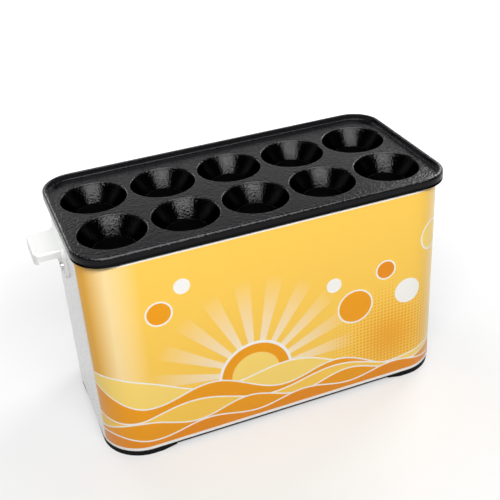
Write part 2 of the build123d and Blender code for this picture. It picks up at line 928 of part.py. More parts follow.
def make_insulation():
    """A mineral blanket against the inside of the shell, with room for the tips of the screws."""
    inset = shell_wall + fitting_clearance
    blanket = open_at_control_end(
        ring(
            body_length,
            body_depth,
            body_corner_radius,
            inset,
            inset + insulation_thickness,
            insulation_base,
            insulation_top_z,
        )
    )
    inner_x = -body_end_x + inset + insulation_thickness + cut_overrun
    for y in handle_screw_ys():
        blanket -= rod_x(screw_radius + fitting_clearance, -body_end_x, inner_x, y, handle_screw_z)
    depth = inset + insulation_thickness + cut_overrun
    for x, z in panel_screw_places():
        blanket -= Pos(x, body_rear_y - depth / 2, z) * Rot(90, 0, 0) * Cylinder(
            small_screw_radius + fitting_clearance, depth
        )
    return blanket


def make_liner():
    """A bright steel liner that holds the blanket back."""
    return open_at_control_end(
        ring(
            body_length,
            body_depth,
            body_corner_radius,
            liner_inset,
            liner_inset + liner_thickness,
            pan_floor_z,
            insulation_top_z,
        )
    )


# Handles
def make_handle(side):
    """A moulded ledge grip on a flange, with a lip along its outer edge."""
    root_x = body_end_x
    low_z = handle_top_z - handle_thickness
    flange = end_plate(
        handle_flange_width,
        handle_flange_height,
        handle_flange_radius,
        handle_offset_y,
        handle_top_z - handle_flange_height / 2,
        root_x,
        root_x + handle_flange_thickness,
    )
    grip = block(
        root_x,
        root_x + handle_reach,
        handle_offset_y - handle_width / 2,
        handle_offset_y + handle_width / 2,
        low_z - handle_lip,
        handle_top_z,
    )
    outer_corners = [
        edge
        for edge in grip.edges().filter_by(Axis.Z)
        if edge.center().X > root_x + handle_reach / 2
    ]
    grip = fillet(outer_corners, handle_corner_radius)
    outer_top = [
        edge for edge in edges_at(grip, handle_top_z) if edge.center().X > root_x + handle_lip / 2
    ]
    grip = fillet(outer_top, handle_top_fillet)
    grip -= block(
        root_x - cut_overrun,
        root_x + handle_reach - handle_lip_width,
        handle_offset_y - handle_width,
        handle_offset_y + handle_width,
        low_z - handle_lip - cut_overrun,
        low_z,
    )
    handle = flange + grip
    for y in handle_screw_ys():
        handle -= rod_x(
            screw_radius + sliding_clearance,
            root_x - cut_overrun,
            root_x + handle_flange_thickness + cut_overrun,
            y,
            handle_screw_z,
        )
    return handle if side > 0 else mirror(handle, about=Plane.YZ)


def make_handle_screws(side):
    """Two screws through the flange of a handle."""
    screw = pan_head_screw(screw_radius, screw_length, screw_head_radius, screw_head_height)
    x = side * (body_end_x + handle_flange_thickness)
    return group(
        Pos(x, y, handle_screw_z) * Rot(0, side * 90, 0) * screw for y in handle_screw_ys()
    )


# Control plate
def make_control_plate():
    """A moulded fascia with raised dial marks and holes for the controls."""
    plate = end_plate(
        control_width,
        control_height,
        control_corner_radius,
        0,
        control_base + control_height / 2,
        body_end_x,
        control_face_x,
    )
    plate -= control_cutters(body_end_x - cut_overrun, control_face_x + cut_overrun)
    for index in range(dial_mark_count):
        angle = -dial_sweep / 2 + index * dial_sweep / (dial_mark_count - 1)
        mark = block(
            control_face_x,
            control_face_x + dial_mark_height,
            -dial_mark_width / 2,
            dial_mark_width / 2,
            dial_mark_radius - dial_mark_length / 2,
            dial_mark_radius + dial_mark_length / 2,
        )
        plate += Pos(0, 0, knob_axis_z) * Rot(angle, 0, 0) * mark
    return plate


def make_control_screws():
    """Four corner screws of the control plate."""
    screw = pan_head_screw(
        small_screw_radius, small_screw_length, small_screw_head_radius, small_screw_head_height
    )
    return group(
        Pos(control_face_x, y, z) * Rot(0, 90, 0) * screw for y, z in control_screw_places()
    )


# Thermostat, shaft and knob
def make_thermostat():
    """The thermostat's case, with a threaded bush through the shell and two tabs behind."""
    back_x = thermostat_back_x
    front_x = body_end_x - shell_wall
    case = block(
        back_x,
        front_x,
        -thermostat_width / 2,
        thermostat_width / 2,
        thermostat_bottom_z,
        thermostat_bottom_z + thermostat_height,
    )
    case = fillet(case.edges().filter_by(Axis.X), thermostat_bush_radius / 2)
    case += rod_x(thermostat_bush_radius, front_x, control_face_x, 0, knob_axis_z)
    for side in (-1, 1):
        tab_y = side * thermostat_width / 4
        case += block(
            back_x - cutout_tab_length / 2,
            back_x,
            tab_y - cutout_tab_width / 2,
            tab_y + cutout_tab_width / 2,
            knob_axis_z - cutout_tab_thickness / 2,
            knob_axis_z + cutout_tab_thickness / 2,
        )
    bore_start = control_face_x - shaft_depth
    case -= rod_x(
        shaft_radius + sliding_clearance,
        bore_start - fitting_clearance,
        control_face_x + cut_overrun,
        0,
        knob_axis_z,
    )
    return case


def at_dial_start(piece):
    """Turn a piece about the knob's axis, from the middle of the dial to its start."""
    return Pos(0, 0, knob_axis_z) * Rot(dial_sweep / 2, 0, 0) * Pos(0, 0, -knob_axis_z) * piece


def make_thermostat_shaft():
    """The D-shaft that the knob turns, at the start of the dial."""
    inner = control_face_x - shaft_depth
    tip = control_face_x + knob_gap + knob_socket_depth - fitting_clearance
    shaft = rod_x(shaft_radius, inner, tip, 0, knob_axis_z)
    flat = block(
        control_face_x + knob_gap,
        tip + cut_overrun,
        -shaft_radius,
        shaft_radius,
        knob_axis_z + shaft_radius - shaft_flat,
        knob_axis_z + shaft_radius + cut_overrun,
    )
    return at_dial_start(shaft - flat)


def make_knob():
    """A fluted knob on a skirt, with a pointer groove and a D-shaped socket."""
    low_x = control_face_x + knob_gap
    skirt = rod_x(knob_radius, low_x, low_x + knob_skirt_height, 0, knob_axis_z)
    grip = rod_x(knob_grip_radius, low_x, low_x + knob_height, 0, knob_axis_z)
    rounded = [
        edge for edge in grip.edges() if abs(edge.center().X - low_x - knob_height) < slot_width
    ]
    grip = fillet(rounded, pointer_depth)
    for index in range(knob_flutes):
        angle = math.radians((index + 1 / 2) * 360 / knob_flutes)
        grip -= rod_x(
            knob_flute_radius,
            low_x + knob_skirt_height,
            low_x + knob_height + cut_overrun,
            knob_grip_radius * math.sin(angle),
            knob_axis_z + knob_grip_radius * math.cos(angle),
        )
    knob = skirt + grip
    knob -= block(
        low_x + knob_height - pointer_depth,
        low_x + knob_height + cut_overrun,
        -pointer_width / 2,
        pointer_width / 2,
        knob_axis_z,
        knob_axis_z + knob_grip_radius + cut_overrun,
    )
    socket = rod_x(
        shaft_radius + sliding_clearance, low_x - cut_overrun, low_x + knob_socket_depth, 0, knob_axis_z
    )
    socket -= block(
        low_x - 2 * cut_overrun,
        low_x + knob_socket_depth + cut_overrun,
        -2 * shaft_radius,
        2 * shaft_radius,
        knob_axis_z + shaft_radius - shaft_flat + sliding_clearance,
        knob_axis_z + 2 * shaft_radius,
    )
    knob -= socket
    return at_dial_start(knob)


# Rocker switch
def make_switch_housing():
    """The switch case and bezel, with a pocket and two pivot holes for the rocker."""
    face_x = control_face_x + switch_bezel_thickness
    housing = block(
        control_face_x,
        face_x,
        switch_y - switch_bezel_width / 2,
        switch_y + switch_bezel_width / 2,
        switch_z - switch_bezel_height / 2,
        switch_z + switch_bezel_height / 2,
    )
    housing += block(
        control_face_x - switch_depth,
        control_face_x,
        switch_y - switch_body_width / 2,
        switch_y + switch_body_width / 2,
        switch_z - switch_body_height / 2,
        switch_z + switch_body_height / 2,
    )
    housing -= block(
        face_x - switch_cavity_depth,
        face_x + cut_overrun,
        switch_y - switch_cavity_width / 2,
        switch_y + switch_cavity_width / 2,
        switch_z - switch_cavity_height / 2,
        switch_z + switch_cavity_height / 2,
    )
    housing -= Pos(face_x - switch_pivot_depth, switch_y, switch_z) * Rot(90, 0, 0) * Cylinder(
        rocker_pin_radius + sliding_clearance, rocker_pin_length + 2 * sliding_clearance
    )
    for side in (-1, 1):
        tab_z = switch_z + side * switch_body_height / 4
        housing += block(
            control_face_x - switch_depth - cutout_tab_length,
            control_face_x - switch_depth,
            switch_y - cutout_tab_width / 2,
            switch_y + cutout_tab_width / 2,
            tab_z - cutout_tab_thickness / 2,
            tab_z + cutout_tab_thickness / 2,
        )
    return housing


def make_rocker():
    """The rocker and its pivot pin, tilted to its off position."""
    pivot_x = control_face_x + switch_bezel_thickness - switch_pivot_depth
    outline = Polyline(
        (-rocker_root, switch_y, -rocker_root_half),
        (rocker_waist, switch_y, -rocker_half_height),
        (rocker_crown, switch_y, -rocker_half_height),
        (rocker_dip, switch_y, 0),
        (rocker_crown, switch_y, rocker_half_height),
        (rocker_waist, switch_y, rocker_half_height),
        (-rocker_root, switch_y, rocker_root_half),
        close=True,
    )
    rocker = extrude(make_face(outline), rocker_width / 2, both=True)
    rocker += Pos(0, switch_y, 0) * Rot(90, 0, 0) * Cylinder(rocker_pin_radius, rocker_pin_length)
    return Pos(pivot_x, 0, switch_z) * Rot(0, rocker_tilt, 0) * rocker


# Pilot lamps
def make_lamp_holder(y):
    """A flanged sleeve for one lens."""
    holder = rod_x(
        lamp_flange_radius, control_face_x, control_face_x + lamp_flange_thickness, y, lamp_z
    )
    holder += rod_x(lamp_body_radius, control_face_x - lamp_depth, control_face_x, y, lamp_z)
    pocket_floor = control_face_x - lamp_depth / 2
    return holder - rod_x(
        lens_radius + sliding_clearance,
        pocket_floor,
        control_face_x + lamp_flange_thickness + cut_overrun,
        y,
        lamp_z,
    )


def make_lamp_lens(y):
    """A coloured lens with a domed end."""
    pocket_floor = control_face_x - lamp_depth / 2
    crown = control_face_x + lamp_flange_thickness + lens_rise
    lens = rod_x(lens_radius, pocket_floor, crown, y, lamp_z)
    rim = [edge for edge in lens.edges() if abs(edge.center().X - crown) < slot_width]
    return fillet(rim, lens_fillet)


# Appliance inlet
def make_inlet_housing():
    """The inlet's flange, case and socket."""
    flange = end_plate(
        inlet_flange_length,
        inlet_flange_height,
        inlet_flange_height / 4,
        0,
        inlet_z,
        control_face_x,
        control_face_x + inlet_flange_thickness,
    )
    case = block(
        control_face_x - inlet_depth,
        control_face_x,
        -inlet_body_length / 2,
        inlet_body_length / 2,
        inlet_z - inlet_body_height / 2,
        inlet_z + inlet_body_height / 2,
    )
    mouth_x = control_face_x + inlet_flange_thickness
    socket = block(
        mouth_x - inlet_socket_depth,
        mouth_x + cut_overrun,
        -inlet_socket_length / 2,
        inlet_socket_length / 2,
        inlet_z - inlet_socket_height / 2,
        inlet_z + inlet_socket_height / 2,
    )
    keyed = [
        edge for edge in socket.edges().filter_by(Axis.X) if edge.center().Z < inlet_z
    ]
    housing = flange + case - chamfer(keyed, inlet_corner_cut)
    for y, z in inlet_screw_places():
        housing -= rod_x(
            small_screw_radius + sliding_clearance,
            control_face_x - cut_overrun,
            mouth_x + cut_overrun,
            y,
            z,
        )
    return housing


def inlet_pin_places():
    """The three blades, in Y and Z: two outer ones and the earth below the middle."""
    high_z = inlet_z + inlet_pin_rise
    low_z = inlet_z - inlet_pin_rise
    return [(-inlet_pin_spacing / 2, high_z), (0, low_z), (inlet_pin_spacing / 2, high_z)]


def make_inlet_pins():
    """Three flat blades that stand on the floor of the socket."""
    floor_x = control_face_x + inlet_flange_thickness - inlet_socket_depth
    return group(
        block(
            floor_x,
            floor_x + inlet_pin_length,
            y - inlet_pin_thickness / 2,
            y + inlet_pin_thickness / 2,
            z - inlet_pin_height / 2,
            z + inlet_pin_height / 2,
        )
        for y, z in inlet_pin_places()
    )


def make_inlet_screws():
    """Two screws through the inlet's flange."""
    screw = pan_head_screw(
        small_screw_radius, small_screw_length, small_screw_head_radius, small_screw_head_height
    )
    x = control_face_x + inlet_flange_thickness
    return group(Pos(x, y, z) * Rot(0, 90, 0) * screw for y, z in inlet_screw_places())


# Over-heat cut-out, sensor and terminal block
def make_cutout():
    """A disc cut-out on the lower spreader, between the rows."""
    base_z = lower_spreader_z + spreader_thickness
    x = rod_x_pitches * tube_pitch_x
    disc = post(cutout_radius, x, 0, base_z, base_z + cutout_height)
    for side in (-1, 1):
        disc += block(
            x + side * cutout_radius / 2 - cutout_tab_thickness / 2,
            x + side * cutout_radius / 2 + cutout_tab_thickness / 2,
            -cutout_tab_width / 2,
            cutout_tab_width / 2,
            base_z + cutout_height,
            base_z + cutout_height + cutout_tab_length,
        )
    return disc


def make_sensor():
    """The thermostat's bulb on the upper spreader, and the capillary from it to the case."""
    z = upper_spreader_z + spreader_thickness + bulb_radius
    bulb_end = bulb_start_x + bulb_length
    bulb = rod_x(bulb_radius, bulb_start_x, bulb_end, 0, z)
    case_top = thermostat_bottom_z + thermostat_height
    capillary = tube_along(
        [(bulb_end, 0, z), (capillary_x, 0, z), (capillary_x, 0, case_top)],
        capillary_bend,
        capillary_radius,
    )
    return bulb + capillary


def make_terminal_block():
    """A ceramic connector block on the pan floor, with a screw well over each way."""
    low_y = -terminal_block_width / 2
    high_y = terminal_block_width / 2
    low_x = terminal_block_x - terminal_block_length / 2
    high_x = terminal_block_x + terminal_block_length / 2
    body = block(low_x, high_x, low_y, high_y, pan_floor_z, pan_floor_z + terminal_block_height)
    body = fillet(body.edges().filter_by(Axis.Z), terminal_way_radius / 2)
    for end_x in (low_x - terminal_fixing_tab / 2, high_x + terminal_fixing_tab / 2):
        body += block(
            end_x - terminal_fixing_tab / 2,
            end_x + terminal_fixing_tab / 2,
            -terminal_fixing_tab / 2,
            terminal_fixing_tab / 2,
            pan_floor_z,
            pan_floor_z + terminal_tab_thickness,
        )
    pitch = terminal_block_length / terminal_way_count
    for index in range(terminal_way_count):
        x = low_x + (index + 1 / 2) * pitch
        top = pan_floor_z + terminal_block_height
        body -= post(terminal_way_radius, x, 0, top - terminal_way_depth, top + cut_overrun)
    return body


def make_terminal_screws():
    """One clamping screw in each well."""
    pitch = terminal_block_length / terminal_way_count
    low_x = terminal_block_x - terminal_block_length / 2
    floor = pan_floor_z + terminal_block_height - terminal_way_depth
    radius = terminal_way_radius - fitting_clearance
    screws = []
    for index in range(terminal_way_count):
        x = low_x + (index + 1 / 2) * pitch
        head = post(radius, x, 0, floor, floor + terminal_way_depth / 2)
        top = floor + terminal_way_depth / 2
        slot_y = slot_width / 2
        head -= block(x - radius, x + radius, -slot_y, slot_y, top - slot_depth, top + slot_depth)
        screws.append(head)
    return group(screws)


# Build and write every sub-part
save("cooking_plate", make_cooking_plate())
save("plate_funnels", make_funnels())
for number, (tube_x, tube_y) in enumerate(tube_places(), start=1):
    save(f"cooking_tube_{number:02d}", make_tube(tube_x, tube_y))
save("plate_gasket", make_gasket())
save("outer_shell", make_shell())
save("rear_panel", make_rear_panel())
save("rear_panel_screws", make_panel_screws())
save("front_film", make_front_film())
save("base_pan", make_base_pan())
for corner_name, corner in (
    ("front_left", (-1, -1)),
    ("front_right", (1, -1)),
    ("rear_left", (-1, 1)),
    ("rear_right", (1, 1)),
):
    save(f"foot_{corner_name}", make_foot(*corner))
save("foot_screws", make_foot_screws())
for level, level_z in spreader_levels:
    save(f"heat_spreader_{level}", make_spreader(level_z))
    save(f"heater_clips_{level}", make_heater_clips(level_z))
    for row_index, row_name in enumerate(row_names):
        save(f"heater_{row_name}_{level}", make_heater(row_index, level_z))
save("tie_rods", make_tie_rods())
save("tie_rod_nuts", make_tie_nuts())
save("sleeves_bottom", make_sleeves(pan_floor_z, lower_spreader_z))
save("sleeves_middle", make_sleeves(lower_spreader_z + spreader_thickness, upper_spreader_z))
save("sleeves_top", make_sleeves(upper_spreader_z + spreader_thickness, boss_bottom_z))
save("insulation_blanket", make_insulation())
save("inner_liner", make_liner())
save("handle_left", make_handle(-1))
save("handle_right", make_handle(1))
save("handle_screws_left", make_handle_screws(-1))
save("handle_screws_right", make_handle_screws(1))
save("control_plate", make_control_plate())
save("control_plate_screws", make_control_screws())
save("thermostat", make_thermostat())
save("thermostat_shaft", make_thermostat_shaft())
save("thermostat_knob", make_knob())
save("switch_housing", make_switch_housing())
save("switch_rocker", make_rocker())
for lamp_name, lamp_y in zip(("power", "heating"), lamp_ys()):
    save(f"lamp_holder_{lamp_name}", make_lamp_holder(lamp_y))
    save(f"lamp_lens_{lamp_name}", make_lamp_lens(lamp_y))
save("inlet_housing", make_inlet_housing())
save("inlet_pins", make_inlet_pins())
save("inlet_screws", make_inlet_screws())
save("overheat_cutout", make_cutout())
save("sensor_bulb", make_sensor())
save("terminal_block", make_terminal_block())
save("terminal_screws", make_terminal_screws())
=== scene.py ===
import math

import bmesh
import bpy
import numpy as np
from mathutils import Matrix, Vector


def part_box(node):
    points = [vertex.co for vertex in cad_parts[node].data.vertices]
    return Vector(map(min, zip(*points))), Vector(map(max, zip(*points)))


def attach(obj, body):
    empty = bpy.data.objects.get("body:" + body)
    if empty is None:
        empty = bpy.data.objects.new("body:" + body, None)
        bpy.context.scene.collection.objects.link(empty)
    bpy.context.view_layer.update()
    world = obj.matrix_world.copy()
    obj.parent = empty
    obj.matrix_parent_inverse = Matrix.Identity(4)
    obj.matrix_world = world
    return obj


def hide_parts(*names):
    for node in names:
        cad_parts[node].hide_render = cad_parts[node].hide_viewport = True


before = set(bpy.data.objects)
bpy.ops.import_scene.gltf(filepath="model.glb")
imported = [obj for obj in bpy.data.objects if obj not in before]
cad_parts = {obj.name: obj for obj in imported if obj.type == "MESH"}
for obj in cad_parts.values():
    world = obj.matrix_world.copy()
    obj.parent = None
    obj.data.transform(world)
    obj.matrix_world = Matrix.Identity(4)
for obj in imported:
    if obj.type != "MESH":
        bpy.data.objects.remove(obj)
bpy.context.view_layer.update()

# Camera
# The view is from the front left and above, with the frame tilted a little. The numbers come from a camera
# fitted to the outlines of the machine in the photograph, with no shift.
azimuth = math.radians(-19.71)
elevation = math.radians(30.87)
roll = math.radians(-3.83)
camera_distance = 0.8851
camera_target = Vector((0.0033, -0.0012, 0.1393))
focal_length_px = 902.9
photo_width_px = 500
sensor_width_mm = 36
camera_data = bpy.data.cameras.new("camera")
camera_data.sensor_width = sensor_width_mm
camera_data.lens = focal_length_px / photo_width_px * sensor_width_mm
camera = bpy.data.objects.new("camera", camera_data)
bpy.context.scene.collection.objects.link(camera)
camera_back = Vector((
    math.sin(azimuth) * math.cos(elevation),
    -math.cos(azimuth) * math.cos(elevation),
    math.sin(elevation),
))
camera_right = Vector((0, 0, 1)).cross(camera_back).normalized()
camera_up = camera_back.cross(camera_right)
rolled_right = math.cos(roll) * camera_right + math.sin(roll) * camera_up
rolled_up = -math.sin(roll) * camera_right + math.cos(roll) * camera_up
turn = Matrix((rolled_right, rolled_up, camera_back)).transposed()
camera.matrix_world = Matrix.Translation(camera_target + camera_back * camera_distance) @ turn.to_4x4()
bpy.context.scene.camera = camera


# Floor and studio light
# A white floor takes a soft shadow and fades into a white backdrop. Mirrors see a dark ceiling with a softbox
# at its top. A wide lamp high in front draws the band in each funnel, and softer ones fill overhead, behind
# and at the right.
def new_material(name):
    """An empty node material. Returns the material, its node tree and its output node."""
    material = bpy.data.materials.new(name)
    material.use_nodes = True
    material.node_tree.nodes.clear()
    output = material.node_tree.nodes.new("ShaderNodeOutputMaterial")
    return material, material.node_tree, output


def math_node(tree, operation, *values):
    """A Math node. Each value is a number or another node's output. Returns its result."""
    node = tree.nodes.new("ShaderNodeMath")
    node.operation = operation
    for socket, value in zip(node.inputs, values):
        if isinstance(value, bpy.types.NodeSocket):
            tree.links.new(value, socket)
        else:
            socket.default_value = value
    return node.outputs[0]


def map_range(tree, value, from_range, to_range, smooth=False):
    """A Map Range node that carries one range over to another, with soft ends if smooth."""
    node = tree.nodes.new("ShaderNodeMapRange")
    if smooth:
        node.interpolation_type = "SMOOTHSTEP"
    for socket, number in zip(("From Min", "From Max", "To Min", "To Max"), (*from_range, *to_range)):
        node.inputs[socket].default_value = number
    tree.links.new(value, node.inputs["Value"])
    return node.outputs["Result"]


def background_rays(tree):
    """1 for camera, glossy and transmitted rays, which see the backdrop itself, and 0 for light."""
    path = tree.nodes.new("ShaderNodeLightPath")
    seen = math_node(tree, "MAXIMUM", path.outputs["Is Camera Ray"], path.outputs["Is Glossy Ray"])
    return math_node(tree, "MAXIMUM", seen, path.outputs["Is Transmission Ray"])


floor_half = 6.0
floor_corners = [(x * floor_half, y * floor_half, 0) for x, y in ((-1, -1), (1, -1), (1, 1), (-1, 1))]
floor_mesh = bpy.data.meshes.new("floor")
floor_mesh.from_pydata(floor_corners, [], [(0, 1, 2, 3)])
floor = bpy.data.objects.new("floor", floor_mesh)
bpy.context.scene.collection.objects.link(floor)
paper_white, paper_roughness = 0.42, 0.9
near_and_far = (0.2, 0.8)
near_and_far_lift = (0.40, 0.85)
floor_material, floor_tree, floor_output = new_material("studio_floor")
floor_paper = floor_tree.nodes.new("ShaderNodeBsdfPrincipled")
floor_paper.inputs["Base Color"].default_value = (paper_white, paper_white, paper_white, 1)
floor_paper.inputs["Roughness"].default_value = paper_roughness
floor_paper.inputs["Specular IOR Level"].default_value = 0.0
floor_place = floor_tree.nodes.new("ShaderNodeTexCoord")
floor_distance = floor_tree.nodes.new("ShaderNodeVectorMath")
floor_distance.operation = "LENGTH"
floor_tree.links.new(floor_place.outputs["Object"], floor_distance.inputs[0])
lift = map_range(floor_tree, floor_distance.outputs["Value"], near_and_far, near_and_far_lift, smooth=True)
floor_lift = floor_tree.nodes.new("ShaderNodeEmission")
floor_tree.links.new(
    math_node(floor_tree, "MULTIPLY", background_rays(floor_tree), lift), floor_lift.inputs["Strength"]
)
floor_sum = floor_tree.nodes.new("ShaderNodeAddShader")
floor_tree.links.new(floor_paper.outputs[0], floor_sum.inputs[0])
floor_tree.links.new(floor_lift.outputs[0], floor_sum.inputs[1])
floor_tree.links.new(floor_sum.outputs[0], floor_output.inputs["Surface"])
floor_mesh.materials.append(floor_material)

world_level, backdrop_level = 0.19, 1.0
lean_to_front = -0.2
ceiling_edge, ceiling_dark = (0.28, 0.50), 0.06
softbox_edge, softbox_level = (0.84, 0.90), 14.0
world = bpy.data.worlds.new("studio")
bpy.context.scene.world = world
world.use_nodes = True
world_tree = world.node_tree
world_background = world_tree.nodes["Background"]
world_background.inputs["Color"].default_value = (1, 1, 1, 1)
world_strength = map_range(world_tree, background_rays(world_tree), (0, 1), (world_level, backdrop_level))
world_height = world_tree.nodes.new("ShaderNodeVectorMath")
world_height.operation = "DOT_PRODUCT"
world_height.inputs[1].default_value = (0, lean_to_front, 1)
world_direction = world_tree.nodes.new("ShaderNodeTexCoord")
world_tree.links.new(world_direction.outputs["Generated"], world_height.inputs[0])
height_in_world = world_height.outputs["Value"]
ceiling = map_range(world_tree, height_in_world, ceiling_edge, (backdrop_level, ceiling_dark), smooth=True)
softbox = map_range(world_tree, height_in_world, softbox_edge, (0, softbox_level))
world_rays = world_tree.nodes.new("ShaderNodeLightPath")
world_mirrored = world_tree.nodes.new("ShaderNodeMix")
world_tree.links.new(world_rays.outputs["Is Glossy Ray"], world_mirrored.inputs["Factor"])
world_tree.links.new(world_strength, world_mirrored.inputs["A"])
world_tree.links.new(math_node(world_tree, "ADD", ceiling, softbox), world_mirrored.inputs["B"])
world_tree.links.new(world_mirrored.outputs["Result"], world_background.inputs["Strength"])

lamp_aim = Vector((0, 0, 0.12))
for name, place, width, height, watts in (
    ("key_lamp", (-0.35, -1.45, 1.65), 2.0, 0.35, 45),
    ("top_lamp", (-0.1, 0.1, 1.3), 0.8, 0.6, 2.5),
    ("rear_lamp", (-0.5, 1.5, 1.05), 0.6, 0.4, 8),
    ("fill_lamp", (1.3, 0.9, 1.2), 0.8, 0.8, 20),
):
    lamp_data = bpy.data.lights.new(name, "AREA")
    lamp_data.shape = "RECTANGLE"
    lamp_data.size = width
    lamp_data.size_y = height
    lamp_data.energy = watts
    lamp = bpy.data.objects.new(name, lamp_data)
    lamp.location = place
    lamp.rotation_euler = (Vector(place) - lamp_aim).to_track_quat("Z", "Y").to_euler()
    bpy.context.scene.collection.objects.link(lamp)
bpy.context.scene.view_settings.view_transform = "Standard"


# Cooking plate
# A die-cast aluminium tray with a raised rim, a narrow ledge inside it, a skirt and a flared mouth over each
# cup. It is sprayed with a black non-stick coating that keeps the orange-peel texture of the casting. Below
# the deck, painted shade turns it a darker metallic black with no grazing reflection on the mouth walls and
# lower skirt.
def rounded_profile(corners, steps=6):
    """A profile through (distance, height, radius) corners, each corner replaced by an arc tangent to its two
    runs, sampled in equal turns. The first and last points stay as they are."""
    corners = np.array(corners, float)
    points = [corners[:1, :2]]
    for before, corner, after in zip(corners[:-2], corners[1:-1], corners[2:]):
        place, radius = corner[:2], corner[2]
        if radius == 0:
            points.append(place[None])
            continue
        back = (before[:2] - place) / np.linalg.norm(before[:2] - place)
        ahead = (after[:2] - place) / np.linalg.norm(after[:2] - place)
        half = math.acos(np.clip(back @ ahead, -1, 1)) / 2
        bisector = (back + ahead) / np.linalg.norm(back + ahead)
        centre = place + bisector * radius / math.sin(half)
        first = place + back * radius / math.tan(half) - centre
        last = place + ahead * radius / math.tan(half) - centre
        sweep = math.atan2(first[0] * last[1] - first[1] * last[0], first @ last)
        turns = np.linspace(0, sweep, steps + 1)
        cos, sin = np.cos(turns), np.sin(turns)
        arc = np.stack([cos * first[0] - sin * first[1], sin * first[0] + cos * first[1]], -1)
        points.append(centre + arc)
    points.append(corners[-1:, :2])
    return np.concatenate(points)


def patch(grid, close_rows=False, close_columns=False):
    """The vertices and quads of a grid of points, optionally closed on itself either way."""
    rows, columns = grid.shape[:2]
    index = np.arange(rows * columns).reshape(rows, columns)
    if close_columns:
        index = np.hstack([index, index[:, :1]])
    if close_rows:
        index = np.vstack([index, index[:1]])
    quads = np.stack([index[:-1, :-1], index[:-1, 1:], index[1:, 1:], index[1:, :-1]], -1).reshape(-1, 4)
    return grid.reshape(-1, 3), quads


def make_piece(name, patches, sharp_degrees=32, merge=2e-6):
    """One mesh object from several patches, with seams merged, faces turned outwards and only sharp edges
    left unsmoothed."""
    starts = np.cumsum([0] + [len(points) for points, quads in patches[:-1]])
    points = np.concatenate([part[0] for part in patches])
    quads = np.concatenate([part[1] + start for part, start in zip(patches, starts)])
    mesh = bpy.data.meshes.new(name)
    mesh.from_pydata(points, [], quads.tolist())
    shape = bmesh.new()
    shape.from_mesh(mesh)
    bmesh.ops.remove_doubles(shape, verts=shape.verts, dist=merge)
    bmesh.ops.dissolve_degenerate(shape, edges=shape.edges, dist=merge)
    bmesh.ops.recalc_face_normals(shape, faces=shape.faces)
    shape.to_mesh(mesh)
    shape.free()
    mesh.shade_smooth()
    mesh.set_sharp_from_angle(angle=math.radians(sharp_degrees))
    piece = bpy.data.objects.new(name, mesh)
    bpy.context.scene.collection.objects.link(piece)
    return piece


def grained(
    name, colour, roughness, grain_size, grain_depth, mottle=0.15, rough_spread=0.08, detail=3, sockets=()
):
    """A Principled material with a noise grain of a real size in metres. The noise moves the colour and the
    roughness a little and lifts the surface through a bump."""
    blotch_share, blotch_detail = 0.04, 4
    material, tree, output = new_material(name)
    shader = tree.nodes.new("ShaderNodeBsdfPrincipled")
    place = tree.nodes.new("ShaderNodeTexCoord").outputs["Object"]
    fine = tree.nodes.new("ShaderNodeTexNoise")
    fine.inputs["Scale"].default_value = 1 / grain_size
    fine.inputs["Detail"].default_value = detail
    broad = tree.nodes.new("ShaderNodeTexNoise")
    broad.inputs["Scale"].default_value = blotch_share / grain_size
    broad.inputs["Detail"].default_value = blotch_detail
    tint = tree.nodes.new("ShaderNodeMix")
    tint.data_type = "RGBA"
    tint.inputs["A"].default_value = (*[channel * (1 - mottle) for channel in colour], 1)
    tint.inputs["B"].default_value = (*[min(1, channel * (1 + mottle)) for channel in colour], 1)
    bump = tree.nodes.new("ShaderNodeBump")
    bump.inputs["Strength"].default_value = 1
    bump.inputs["Distance"].default_value = grain_depth
    rough_range = (roughness - rough_spread, roughness + rough_spread)
    tree.links.new(place, fine.inputs["Vector"])
    tree.links.new(place, broad.inputs["Vector"])
    tree.links.new(broad.outputs["Fac"], tint.inputs["Factor"])
    tree.links.new(tint.outputs["Result"], shader.inputs["Base Color"])
    tree.links.new(map_range(tree, fine.outputs["Fac"], (0, 1), rough_range), shader.inputs["Roughness"])
    tree.links.new(fine.outputs["Fac"], bump.inputs["Height"])
    tree.links.new(bump.outputs["Normal"], shader.inputs["Normal"])
    tree.links.new(shader.outputs[0], output.inputs["Surface"])
    for socket, value in dict(sockets).items():
        shader.inputs[socket].default_value = value
    return material


def dress(nodes, material):
    """Give carried-over pieces a material in every slot."""
    for node in nodes:
        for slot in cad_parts[node].material_slots:
            slot.material = material


plate_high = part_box("cooking_plate")[1]
half_length, half_depth, rim_top = plate_high
plate_corner = 0.030
rim_width, rim_run, rim_rise = 0.004, 0.001, 0.0055
rim_inner_fillet, rim_outer_fillet = 0.0006, 0.0026
ledge_width, ledge_height, ledge_fillet, ledge_lean = 0.0012, 0.0008, 0.0003, 0.0001
skirt_height, skirt_wall, skirt_fillet = 0.0093, 0.006, 0.0006
deck_thickness = 0.003
deck_inset = rim_width + rim_run + ledge_width
deck_corner = plate_corner - deck_inset
deck_top = rim_top - rim_rise
deck_bottom = deck_top - deck_thickness
skirt_bottom = rim_top - skirt_height
tube_columns, tube_rows = 5, 2
tube_pitch_x, tube_pitch_y = 0.067, 0.070
mouth_radius, mouth_fillet, mouth_margin = 0.0313, 0.0014, 0.002
exit_radius, funnel_depth = 0.0194, 0.0165
funnel_bottom = deck_top - funnel_depth
funnel_slope = (mouth_radius - exit_radius) / (deck_top - funnel_bottom)
seat_radius = mouth_radius - funnel_slope * deck_thickness
quarter_steps, flat_rings = 12, 4
on_line = 1e-7
mouth_profile = rounded_profile([
    (mouth_radius + mouth_margin, deck_top, 0),
    (mouth_radius, deck_top, mouth_fillet),
    (seat_radius, deck_bottom, 0),
])


